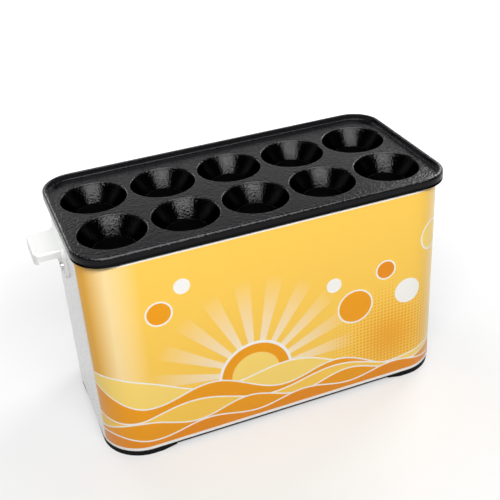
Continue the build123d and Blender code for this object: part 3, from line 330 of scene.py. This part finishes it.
def cell_rays(right, left, rear, front):
    """Angles round a mouth that hit the corners of its cell, evenly spaced between each axis and each
    corner."""
    stops = [0, math.atan2(rear, right), math.pi / 2, math.pi - math.atan2(rear, left), math.pi]
    stops += [math.pi + math.atan2(front, left), 1.5 * math.pi]
    stops += [2 * math.pi - math.atan2(front, right), 2 * math.pi]
    return np.concatenate([
        np.linspace(first, last, quarter_steps, endpoint=False) for first, last in zip(stops[:-1], stops[1:])
    ])


def cell_edge(angles, centre, right, left, rear, front):
    """Where rays from a mouth's centre leave its cell: the nearer of the two straight sides, or the rounded
    corner of the deck where that is nearer still."""
    direction = np.stack([np.cos(angles), np.sin(angles)], -1)
    reach_x = np.where(direction[:, 0] > 0, right, left) / np.maximum(np.abs(direction[:, 0]), 1e-9)
    reach_y = np.where(direction[:, 1] > 0, rear, front) / np.maximum(np.abs(direction[:, 1]), 1e-9)
    reach = np.minimum(reach_x, reach_y)
    corner = np.array([half_length - deck_inset - deck_corner, half_depth - deck_inset - deck_corner])
    corner = np.sign(centre + direction * reach[:, None]) * corner
    point = centre + direction * reach[:, None]
    beyond = (np.abs(point) > np.abs(corner) + 1e-9).all(1)
    offset = corner - centre
    along = (direction * offset).sum(1)
    root = along**2 - (offset**2).sum(1) + deck_corner**2
    reach = np.where(beyond, along + np.sqrt(np.maximum(root, 0)), reach)
    return centre + direction * reach[:, None]


patches = []
outline = []
for row in range(tube_rows):
    for column in range(tube_columns):
        centre = np.array([(column - 2) * tube_pitch_x, (row - 0.5) * tube_pitch_y])
        right = half_length - deck_inset - centre[0] if column == tube_columns - 1 else tube_pitch_x / 2
        left = half_length - deck_inset + centre[0] if column == 0 else tube_pitch_x / 2
        rear = half_depth - deck_inset - centre[1] if row == 1 else -centre[1]
        front = half_depth - deck_inset + centre[1] if row == 0 else centre[1]
        angles = cell_rays(right, left, rear, front)
        edge = cell_edge(angles, centre, right, left, rear, front)
        outline.append(edge)
        ray = np.stack([np.cos(angles), np.sin(angles)], -1)
        wall = np.empty((len(mouth_profile), len(angles), 3))
        wall[..., :2] = centre + ray * mouth_profile[:, :1, None]
        wall[..., 2] = mouth_profile[:, 1:]
        for ring, level in ((0, deck_top), (-1, deck_bottom)):
            share = np.linspace(1, 0, flat_rings)[:, None, None]
            flat = np.empty((flat_rings, len(angles), 3))
            flat[..., :2] = wall[ring, :, :2] + (edge - wall[ring, :, :2]) * share
            flat[..., 2] = level
            patches.append(patch(flat, close_columns=True))
        patches.append(patch(wall, close_columns=True))

outline = np.concatenate(outline)
deck_half = np.array([half_length - deck_inset, half_depth - deck_inset])
on_edge = (np.abs(np.abs(outline) - deck_half) < on_line).any(1)
corner_centre = np.sign(outline) * (deck_half - deck_corner)
from_corner = outline - corner_centre
in_corner = (np.abs(outline) > deck_half - deck_corner - 1e-9).all(1)
on_arc = in_corner & (np.abs(np.linalg.norm(from_corner, axis=1) - deck_corner) < 1e-6)
normal = np.where(np.abs(np.abs(outline) - deck_half) < on_line, np.sign(outline), 0.0)
normal[on_arc] = from_corner[on_arc] / deck_corner
keep = on_edge | on_arc
outline, normal = outline[keep], normal[keep]
order = np.argsort(np.arctan2(outline[:, 1], outline[:, 0]))
outline, normal = outline[order], normal[order]
distinct = np.linalg.norm(outline - np.roll(outline, 1, axis=0), axis=1) > on_line
outline, normal = outline[distinct], normal[distinct]
rim_profile = rounded_profile([
    (0, deck_top, 0),
    (ledge_lean, deck_top, 0),
    (2 * ledge_lean, deck_top + ledge_height, ledge_fillet),
    (ledge_width, deck_top + ledge_height, ledge_fillet),
    (ledge_width + rim_run, rim_top, rim_inner_fillet),
    (deck_inset, rim_top, rim_outer_fillet),
    (deck_inset, skirt_bottom, skirt_fillet),
    (deck_inset - skirt_wall, skirt_bottom, skirt_fillet),
    (deck_inset - skirt_wall, deck_bottom, 0),
    (0, deck_bottom, 0),
])
rim = np.empty((len(rim_profile), len(outline), 3))
rim[..., :2] = outline + normal * rim_profile[:, :1, None]
rim[..., 2] = rim_profile[:, 1:]
patches.append(patch(rim, close_columns=True))
plate = make_piece("cooking_plate_casting", patches)

# Painted shade: below the deck the coating turns a darker metallic black with no grazing reflection.
painted_shade_black = (0.008, 0.008, 0.008)
painted_shade_fade = (deck_top - 0.0015, deck_top - 0.0003)
nonstick = grained(
    "nonstick_plate", colour=(0.004, 0.004, 0.005), roughness=0.16, grain_size=0.0022, grain_depth=0.00045,
    mottle=0.12, rough_spread=0.04, detail=1, sockets={"Specular IOR Level": 0.12},
)
nonstick_tree = nonstick.node_tree
nonstick_shader = nonstick_tree.nodes["Principled BSDF"]
place_on_plate = nonstick_tree.nodes.new("ShaderNodeSeparateXYZ")
nonstick_tree.links.new(nonstick_tree.nodes["Texture Coordinate"].outputs["Object"], place_on_plate.inputs[0])
on_deck = map_range(nonstick_tree, place_on_plate.outputs["Z"], painted_shade_fade, (0, 1))
painted_shade_mix = nonstick_tree.nodes.new("ShaderNodeMix")
painted_shade_mix.data_type = "RGBA"
painted_shade_mix.inputs["A"].default_value = (*painted_shade_black, 1)
nonstick_tree.links.new(on_deck, painted_shade_mix.inputs["Factor"])
nonstick_tree.links.new(nonstick_shader.inputs["Base Color"].links[0].from_socket, painted_shade_mix.inputs["B"])
nonstick_tree.links.new(painted_shade_mix.outputs["Result"], nonstick_shader.inputs["Base Color"])
nonstick_tree.links.new(
    math_node(nonstick_tree, "SUBTRACT", 1.0, on_deck), nonstick_shader.inputs["Metallic"]
)
nonstick_tree.links.new(on_deck, nonstick_shader.inputs["Specular Tint"])
plate.data.materials.append(nonstick)
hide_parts("cooking_plate")
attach(plate, "cooker")

# Funnels
# Spun aluminium funnels under the deck, with the coating of the plate, painted with shade as its mouth walls
# are:
# a darker metallic black with no grazing reflection. Each carries its mouth on and ends in a collar that
# holds a tube.
funnel_wall, funnel_lip_fillet = 0.0028, 0.0002
collar_inner, collar_wall, collar_length = 0.02055, 0.0026, 0.012
collar_end_fillet, collar_root_fillet = 0.0005, 0.0004
turn_steps = 96
turns = np.linspace(0, 2 * math.pi, turn_steps, endpoint=False)


def revolved(profile, x, y):
    """A profile of distances and heights, turned about an upright axis at x and y."""
    grid = np.empty((len(profile), len(turns), 3))
    grid[..., 0] = profile[:, :1] * np.cos(turns) + x
    grid[..., 1] = profile[:, :1] * np.sin(turns) + y
    grid[..., 2] = profile[:, 1:]
    return grid


funnel_profile = rounded_profile([
    (seat_radius, deck_bottom, 0),
    (exit_radius, funnel_bottom, funnel_lip_fillet),
    (collar_inner, funnel_bottom, 0),
    (collar_inner, funnel_bottom - collar_length, 0),
    (collar_inner + collar_wall, funnel_bottom - collar_length, collar_end_fillet),
    (collar_inner + collar_wall, funnel_bottom, collar_root_fillet),
    (exit_radius + funnel_wall, funnel_bottom, 0),
    (seat_radius + funnel_wall, deck_bottom, 0),
])
tube_places = [
    ((column - 2) * tube_pitch_x, (row - 0.5) * tube_pitch_y)
    for row in range(tube_rows) for column in range(tube_columns)
]
funnels = make_piece("funnels", [
    patch(revolved(funnel_profile, x, y), close_rows=True, close_columns=True) for x, y in tube_places
])
# Painted shade: the funnel walls are a darker metallic black with a black grazing tint, so they show no
# grazing reflection.
funnel_painted_shade_coating = grained(
    "nonstick_funnel", colour=painted_shade_black, roughness=0.13, grain_size=0.0016, grain_depth=0.00024,
    mottle=0.12, rough_spread=0.03, detail=1, sockets={"Metallic": 1.0, "Specular Tint": (0, 0, 0, 1)},
)
funnels.data.materials.append(funnel_painted_shade_coating)
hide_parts("plate_funnels")
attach(funnels, "cooker")

# Cooking tubes
# Drawn cups with rounded floors, pushed into the collars from below. Their coating is smoother than the
# plate's and darker.
tube_radius, tube_wall, tube_floor = 0.019, 0.0015, 0.002
tube_outer_fillet, tube_inner_fillet = 0.004, 0.0025
tube_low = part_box("cooking_tube_01")[0].z
tube_profile = rounded_profile([
    (0, tube_low, 0),
    (tube_radius + tube_wall, tube_low, tube_outer_fillet),
    (tube_radius + tube_wall, funnel_bottom, 0),
    (tube_radius, funnel_bottom, 0),
    (tube_radius, tube_low + tube_floor, tube_inner_fillet),
    (0, tube_low + tube_floor, 0),
])
tube_coating = grained(
    "nonstick_tube", colour=(0.0015, 0.0015, 0.0015), roughness=0.42, grain_size=0.0011, grain_depth=0.00012,
    mottle=0.12, rough_spread=0.10, sockets={"Specular IOR Level": 0.1},
)
for number, (x, y) in enumerate(tube_places, start=1):
    tube = make_piece(f"tube_{number:02d}", [patch(revolved(tube_profile, x, y), close_columns=True)])
    tube.data.materials.append(tube_coating)
    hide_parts(f"cooking_tube_{number:02d}")
    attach(tube, "cooker")

# Gasket
# A flat ring of black silicone, punched from sheet and clamped between the skirt of the plate and the shell
# when the rods are drawn tight.
dress(
    ["plate_gasket"],
    grained(
        "seal_rubber", colour=(0.02, 0.02, 0.02), roughness=0.7, grain_size=0.0006, grain_depth=0.00003,
    ),
)

# Shell and rear panel
# One steel sheet wrapped round the machine, white enamelled with a faint ripple, and a flat cover of the same
# sheet over the service opening at the back.
dress(
    ["outer_shell", "rear_panel"],
    grained(
        "shell_paint", colour=(0.76, 0.76, 0.755), roughness=0.28, grain_size=0.0012, grain_depth=0.000004,
        mottle=0.01, rough_spread=0.03, sockets={"Coat Weight": 0.3, "Coat Roughness": 0.12},
    ),
)

# Printed film
# A thin glossy film over the front and both front corners. Its generic print has waves, discs and a rising
# sun in oranges and creams, on a base colour that runs from amber through yellow to pale cream. The pale
# cream band on the left front corner is a painted highlight.
film_low, film_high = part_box("front_film")
film_thickness, film_edge_fillet = 0.0004, 0.0001
film_corner = 0.040
arc_steps, flat_steps, edge_steps = 24, 60, 3
film_side_y = film_high.y
film_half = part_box("outer_shell")[1].x
front_y = film_low.y + film_thickness
arc_centre = np.array([film_half - film_corner, front_y + film_corner])
side_turn = math.asin((arc_centre[1] - film_side_y) / film_corner)
left_turns = np.linspace(math.pi + side_turn, 1.5 * math.pi, arc_steps)
right_turns = np.linspace(1.5 * math.pi, 2 * math.pi - side_turn, arc_steps)
flat_x = np.linspace(-arc_centre[0], arc_centre[0], flat_steps)[1:-1]
left_normal = np.stack([np.cos(left_turns), np.sin(left_turns)], -1)
right_normal = np.stack([np.cos(right_turns), np.sin(right_turns)], -1)
film_path = np.concatenate([
    np.array([-arc_centre[0], arc_centre[1]]) + film_corner * left_normal,
    np.stack([flat_x, np.full_like(flat_x, front_y)], -1),
    arc_centre + film_corner * right_normal,
])
film_normal = np.concatenate([left_normal, np.tile([0.0, -1.0], (len(flat_x), 1)), right_normal])
film_run = np.concatenate([[0], np.cumsum(np.linalg.norm(np.diff(film_path, axis=0), axis=1))])
film_section = rounded_profile([
    (0, film_low.z, 0),
    (film_thickness, film_low.z, film_edge_fillet),
    (film_thickness, film_high.z, film_edge_fillet),
    (0, film_high.z, 0),
], edge_steps)
film_grid = np.empty((len(film_section), len(film_path), 3))
film_grid[..., :2] = film_path + film_normal * film_section[:, :1, None]
film_grid[..., 2] = film_section[:, 1:]
film_points, film_quads = patch(film_grid, close_rows=True)
film_mesh = bpy.data.meshes.new("front_film_print")
count = len(film_path)
end_ring = np.arange(len(film_section)) * count
film_mesh.from_pydata(
    film_points, [], film_quads.tolist() + [end_ring.tolist(), (end_ring + count - 1)[::-1].tolist()]
)
film_mesh.shade_smooth()
film_mesh.set_sharp_from_angle(angle=math.radians(32))
film_uv = np.stack([np.tile(film_run, len(film_section)), film_points[:, 2] - film_low.z], -1)
loop_vertex = np.empty(len(film_mesh.loops), int)
film_mesh.loops.foreach_get("vertex_index", loop_vertex)
film_mesh.uv_layers.new(name="print").data.foreach_set("uv", film_uv[loop_vertex].ravel())
film = bpy.data.objects.new("front_film_print", film_mesh)
bpy.context.scene.collection.objects.link(film)
film_material, film_tree, film_output = new_material("printed_film")
film_length = film_run[-1]
film_height = film_high.z - film_low.z
ink_edge = 0.0003


def reckon(operation, *values):
    """A Math node of the film's material."""
    return math_node(film_tree, operation, *values)


def inside_mask(distance):
    """1 where a signed distance is positive and 0 where it is negative, with an edge as wide as the ink's."""
    return map_range(film_tree, distance, (-ink_edge, ink_edge), (0, 1), smooth=True)


def ink(under, mask, colour, strength=1.0):
    """Print a colour over what is there, where the mask is 1."""
    node = film_tree.nodes.new("ShaderNodeMix")
    node.data_type = "RGBA"
    if strength != 1.0:
        mask = reckon("MULTIPLY", mask, strength)
    film_tree.links.new(mask, node.inputs["Factor"])
    film_tree.links.new(under, node.inputs["A"])
    node.inputs["B"].default_value = (*colour, 1)
    return node.outputs["Result"]


def hypotenuse(x, y):
    """The square root of the sum of two squares."""
    return reckon("SQRT", reckon("ADD", reckon("POWER", x, 2), reckon("POWER", y, 2)))


def from_centre(x, y):
    """Distance on the film from a point."""
    return hypotenuse(reckon("SUBTRACT", across, x), reckon("SUBTRACT", upward, y))


film_coordinates = film_tree.nodes.new("ShaderNodeSeparateXYZ")
film_uv_node = film_tree.nodes.new("ShaderNodeUVMap")
film_uv_node.uv_map = "print"
film_tree.links.new(film_uv_node.outputs["UV"], film_coordinates.inputs[0])
across, upward = film_coordinates.outputs["X"], film_coordinates.outputs["Y"]
amber, yellow, cream_and_painted_highlight = (0.82, 0.40, 0.006), (0.95, 0.59, 0.085), (0.97, 0.74, 0.36)
orange, deep_orange = (0.85, 0.33, 0.0), (0.80, 0.26, 0.0)
pale_yellow, white = (0.95, 0.68, 0.16), (0.90, 0.89, 0.85)
outline_width = 0.0016
# Painted highlight: the pale cream band of this ramp on the left front corner; the ramp ends in pale cream
# again at the right end.
print_and_highlight_ramp = film_tree.nodes.new("ShaderNodeValToRGB")
print_and_highlight_stops = [
    (0.0, amber), (0.025, amber), (0.085, cream_and_painted_highlight), (0.16, yellow),
    (0.55, yellow), (0.90, yellow), (0.96, cream_and_painted_highlight), (1.0, cream_and_painted_highlight),
]
while len(print_and_highlight_ramp.color_ramp.elements) < len(print_and_highlight_stops):
    print_and_highlight_ramp.color_ramp.elements.new(1.0)
for element, (position, colour) in zip(print_and_highlight_ramp.color_ramp.elements, print_and_highlight_stops):
    element.position = position
    element.color = (*colour, 1)
film_tree.links.new(reckon("DIVIDE", across, film_length), print_and_highlight_ramp.inputs["Fac"])
printed_with_highlight = print_and_highlight_ramp.outputs["Color"]

sun_x, sun_y, sun_radius, sun_outline, sun_ring = 0.158, 0.052, 0.034, 0.003, 0.010
ray_radius, ray_count, ray_sharpness, ray_strength = 0.105, 20, 0.002, 0.9
sun_distance = from_centre(sun_x, sun_y)
sun_angle = reckon("ARCTAN2", reckon("SUBTRACT", upward, sun_y), reckon("SUBTRACT", across, sun_x))
ray_wave = reckon("SINE", reckon("MULTIPLY", sun_angle, ray_count))
ray_fade = reckon("SUBTRACT", 1.0, reckon("DIVIDE", sun_distance, ray_radius))
ray_stripes = inside_mask(reckon("MULTIPLY", ray_wave, ray_sharpness))
ray_mask = reckon("MULTIPLY", ray_stripes, reckon("MAXIMUM", ray_fade, 0.0))
printed_with_highlight = ink(printed_with_highlight, ray_mask, white, ray_strength)
printed_with_highlight = ink(printed_with_highlight, inside_mask(reckon("SUBTRACT", sun_radius + sun_outline, sun_distance)), white)
printed_with_highlight = ink(printed_with_highlight, inside_mask(reckon("SUBTRACT", sun_radius, sun_distance)), orange)
printed_with_highlight = ink(printed_with_highlight, inside_mask(reckon("SUBTRACT", sun_radius - sun_ring, sun_distance)), pale_yellow)

dot_pitch, dot_radius, dot_strength = 0.0075, 0.0024, 0.8
dots_x, dots_y, dots_reach = 0.300, 0.050, 0.075
dot_distance = hypotenuse(
    reckon("SUBTRACT", reckon("PINGPONG", across, dot_pitch / 2), dot_pitch / 4),
    reckon("SUBTRACT", reckon("PINGPONG", upward, dot_pitch / 2), dot_pitch / 4),
)
dot_fade = reckon("SUBTRACT", 1.0, reckon("DIVIDE", from_centre(dots_x, dots_y), dots_reach))
dot_size = reckon("MULTIPLY", reckon("MAXIMUM", dot_fade, 0.0), dot_radius)
printed_with_highlight = ink(printed_with_highlight, inside_mask(reckon("SUBTRACT", dot_size, dot_distance)), orange, dot_strength)

for disc_x, disc_y, disc_radius, disc_colour in (
    (0.262, 0.096, 0.017, orange),
    (0.294, 0.128, 0.009, deep_orange),
    (0.318, 0.098, 0.012, white),
    (0.240, 0.126, 0.006, white),
    (0.347, 0.150, 0.014, pale_yellow),
    (0.073, 0.146, 0.011, orange),
    (0.096, 0.168, 0.006, white),
):
    disc_distance = from_centre(disc_x, disc_y)
    printed_with_highlight = ink(printed_with_highlight, inside_mask(reckon("SUBTRACT", disc_radius + outline_width, disc_distance)), white)
    printed_with_highlight = ink(printed_with_highlight, inside_mask(reckon("SUBTRACT", disc_radius, disc_distance)), disc_colour)

for crest, lean, swing, length, phase, colour in (
    (0.078, -0.170, 0.010, 0.170, 0.4, pale_yellow),
    (0.062, -0.130, 0.009, 0.128, 2.1, orange),
    (0.040, -0.060, 0.007, 0.145, 3.6, yellow),
    (0.026, -0.030, 0.006, 0.105, 5.2, orange),
    (0.012, 0.0, 0.004, 0.098, 0.9, deep_orange),
):
    swell = reckon("SINE", reckon("ADD", reckon("MULTIPLY", across, 2 * math.pi / length), phase))
    slope = reckon("ADD", reckon("MULTIPLY", across, lean), crest)
    surface = reckon("ADD", reckon("MULTIPLY", swell, swing), slope)
    depth = reckon("SUBTRACT", surface, upward)
    printed_with_highlight = ink(printed_with_highlight, inside_mask(reckon("ADD", depth, outline_width)), white)
    printed_with_highlight = ink(printed_with_highlight, inside_mask(depth), colour)

border_low, border_high = 0.0028, 0.0012
printed_with_highlight = ink(printed_with_highlight, inside_mask(reckon("SUBTRACT", border_low, upward)), white)
printed_with_highlight = ink(printed_with_highlight, inside_mask(reckon("SUBTRACT", upward, film_height - border_high)), white)

ripple_scale, ripple_depth = 60, 0.0002
film_shader = film_tree.nodes.new("ShaderNodeBsdfPrincipled")
for socket, value in (("Specular IOR Level", 0.25), ("Coat Weight", 0.1), ("Coat Roughness", 0.15)):
    film_shader.inputs[socket].default_value = value
film_ripple = film_tree.nodes.new("ShaderNodeTexNoise")
film_ripple.inputs["Scale"].default_value = ripple_scale
film_bump = film_tree.nodes.new("ShaderNodeBump")
film_bump.inputs["Distance"].default_value = ripple_depth
film_gloss = map_range(film_tree, film_ripple.outputs["Fac"], (0, 1), (0.26, 0.38))
film_place = film_tree.nodes.new("ShaderNodeTexCoord")
film_tree.links.new(film_place.outputs["Object"], film_ripple.inputs["Vector"])
film_tree.links.new(film_ripple.outputs["Fac"], film_bump.inputs["Height"])
film_tree.links.new(film_gloss, film_shader.inputs["Roughness"])
film_tree.links.new(film_bump.outputs["Normal"], film_shader.inputs["Normal"])
film_tree.links.new(printed_with_highlight, film_shader.inputs["Base Color"])
film_tree.links.new(film_shader.outputs[0], film_output.inputs["Surface"])
film_mesh.materials.append(film_material)
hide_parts("front_film")
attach(film, "cooker")

# Base pan and feet
# A moulded black pan closes the bottom and carries the shell on its ledge, and a rubber pad is screwed under
# each corner.
dress(
    ["base_pan"],
    grained(
        "base_plastic", colour=(0.003, 0.003, 0.003), roughness=0.5, grain_size=0.0007, grain_depth=0.00006,
        sockets={"Specular IOR Level": 0.1},
    ),
)
dress(
    ["foot_front_left", "foot_front_right", "foot_rear_left", "foot_rear_right"],
    grained(
        "foot_rubber", colour=(0.003, 0.003, 0.003), roughness=0.75, grain_size=0.0005, grain_depth=0.00004,
        sockets={"Specular IOR Level": 0.1},
    ),
)

# Handles
# White moulded ledge grips, one at each end of the machine. Each stands on a flange that two screws hold to
# the shell.
dress(
    ["handle_left", "handle_right"],
    grained(
        "handle_plastic", colour=(0.78, 0.78, 0.77), roughness=0.32, grain_size=0.0009, grain_depth=0.00001,
        mottle=0.01, rough_spread=0.04, sockets={"Subsurface Weight": 0.05},
    ),
)

# Screws, rods, sleeves and other plated steel
# Zinc-plated steel, turned or pressed. Four rods with sleeves clamp the machine together from pan to plate,
# and screws hold the feet, the back, the handles and the control end.
dress(
    ["heater_clips_upper", "heater_clips_lower", "tie_rods", "tie_rod_nuts", "sleeves_bottom",
     "sleeves_middle", "sleeves_top", "foot_screws", "rear_panel_screws", "handle_screws_left",
     "handle_screws_right", "control_plate_screws", "inlet_screws", "terminal_screws", "thermostat_shaft",
     "overheat_cutout", "thermostat"],
    grained(
        "plated_steel", colour=(0.58, 0.58, 0.56), roughness=0.3, grain_size=0.0006, grain_depth=0.00001,
        mottle=0.06, rough_spread=0.08, sockets={"Metallic": 1.0},
    ),
)

# Heaters, heat spreaders, liner and insulation
# Sheathed heaters, browned by heat, are clipped to rolled aluminium plates that carry the heat to the tubes.
# A bright steel liner round them keeps a blanket of mineral wool off the tubes.
dress(
    ["heater_front_upper", "heater_rear_upper", "heater_front_lower", "heater_rear_lower"],
    grained(
        "heater_sheath", colour=(0.16, 0.15, 0.13), roughness=0.5, grain_size=0.0008, grain_depth=0.00002,
        mottle=0.2, rough_spread=0.1, sockets={"Metallic": 1.0},
    ),
)
dress(
    ["heat_spreader_upper", "heat_spreader_lower"],
    grained(
        "spreader_aluminium", colour=(0.66, 0.66, 0.67), roughness=0.36, grain_size=0.0007,
        grain_depth=0.00002, mottle=0.05, rough_spread=0.08, sockets={"Metallic": 1.0},
    ),
)
dress(
    ["inner_liner"],
    grained(
        "liner_steel", colour=(0.62, 0.62, 0.63), roughness=0.3, grain_size=0.0009, grain_depth=0.00001,
        mottle=0.05, rough_spread=0.06, sockets={"Metallic": 1.0},
    ),
)
dress(
    ["insulation_blanket"],
    grained(
        "mineral_wool", colour=(0.72, 0.66, 0.50), roughness=0.95, grain_size=0.0012, grain_depth=0.0006,
        mottle=0.18, rough_spread=0.04,
    ),
)
dress(
    ["sensor_bulb"],
    grained(
        "copper", colour=(0.72, 0.36, 0.22), roughness=0.3, grain_size=0.0006, grain_depth=0.00001,
        mottle=0.08, rough_spread=0.08, sockets={"Metallic": 1.0},
    ),
)


# Control end
# A moulded fascia with the thermostat's knob, a rocker switch, two pilot lamps and the inlet. The dial marks
# that stand up from the fascia and the floor of the knob's pointer groove are printed white.
def print_box(material, low, high, colour, turned=0, pivot=(0, 0, 0)):
    """Print a material in a second colour inside a box, which may be turned about a line along X."""
    tree = material.node_tree
    base_colour = tree.nodes["Principled BSDF"].inputs["Base Color"]
    middle = (Vector(low) + Vector(high)) / 2
    upright = tree.nodes.new("ShaderNodeVectorRotate")
    upright.rotation_type = "X_AXIS"
    upright.inputs["Center"].default_value = pivot
    upright.inputs["Angle"].default_value = -turned
    offset = tree.nodes.new("ShaderNodeVectorMath")
    offset.operation = "SUBTRACT"
    offset.inputs[1].default_value = middle
    apart = tree.nodes.new("ShaderNodeSeparateXYZ")
    tree.links.new(tree.nodes["Texture Coordinate"].outputs["Object"], upright.inputs["Vector"])
    tree.links.new(upright.outputs["Vector"], offset.inputs[0])
    tree.links.new(offset.outputs["Vector"], apart.inputs[0])
    within = [
        math_node(tree, "COMPARE", apart.outputs[axis], 0.0, high[axis] - middle[axis]) for axis in range(3)
    ]
    print_over = tree.nodes.new("ShaderNodeMix")
    print_over.data_type = "RGBA"
    print_over.inputs["B"].default_value = (*colour, 1)
    mask = math_node(tree, "MULTIPLY", math_node(tree, "MULTIPLY", within[0], within[1]), within[2])
    tree.links.new(mask, print_over.inputs["Factor"])
    tree.links.new(base_colour.links[0].from_socket, print_over.inputs["A"])
    tree.links.new(print_over.outputs["Result"], base_colour)


dial_white = (0.8, 0.8, 0.78)
mark_print_depth, print_overshoot = 0.00025, 0.001
fascia_low, fascia_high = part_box("control_plate")
fascia = grained(
    "fascia_plastic", colour=(0.035, 0.035, 0.037), roughness=0.5, grain_size=0.0006, grain_depth=0.00005,
)
print_box(
    fascia, (fascia_high.x - mark_print_depth, fascia_low.y, fascia_low.z),
    (fascia_high.x + print_overshoot, fascia_high.y, fascia_high.z), dial_white,
)
dress(["control_plate"], fascia)

pointer_depth, pointer_half_width, pointer_print_depth = 0.0008, 0.00101, 0.0002
dial_start = math.radians(135)
knob_low, knob_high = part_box("thermostat_knob")
knob_axis_z = (knob_low.z + knob_high.z) / 2
groove_x = knob_high.x - pointer_depth
knob_plastic = grained(
    "knob_plastic", colour=(0.012, 0.012, 0.013), roughness=0.36, grain_size=0.0006, grain_depth=0.00003,
)
print_box(
    knob_plastic, (groove_x - pointer_print_depth, -pointer_half_width, knob_axis_z),
    (groove_x + pointer_print_depth, pointer_half_width, knob_high.z), dial_white, dial_start,
    (0, 0, knob_axis_z),
)
dress(["thermostat_knob"], knob_plastic)

dress(
    ["switch_housing", "switch_rocker", "inlet_housing", "lamp_holder_power", "lamp_holder_heating"],
    grained(
        "control_plastic", colour=(0.014, 0.014, 0.015), roughness=0.36, grain_size=0.0006,
        grain_depth=0.00003,
    ),
)
for lens, lens_material, lens_colour in (
    ("lamp_lens_power", "lens_red", (0.55, 0.01, 0.005)),
    ("lamp_lens_heating", "lens_green", (0.02, 0.36, 0.03)),
):
    dress(
        [lens],
        grained(
            lens_material, colour=lens_colour, roughness=0.12, grain_size=0.0012, grain_depth=0.00001,
            mottle=0.05, rough_spread=0.03, sockets={"Transmission Weight": 0.5},
        ),
    )
dress(
    ["inlet_pins"],
    grained(
        "pin_brass", colour=(0.70, 0.56, 0.32), roughness=0.28, grain_size=0.0006, grain_depth=0.00001,
        mottle=0.05, rough_spread=0.06, sockets={"Metallic": 1.0},
    ),
)
dress(
    ["terminal_block"],
    grained(
        "steatite", colour=(0.80, 0.76, 0.68), roughness=0.6, grain_size=0.0007, grain_depth=0.00003,
        mottle=0.05, rough_spread=0.06,
    ),
)
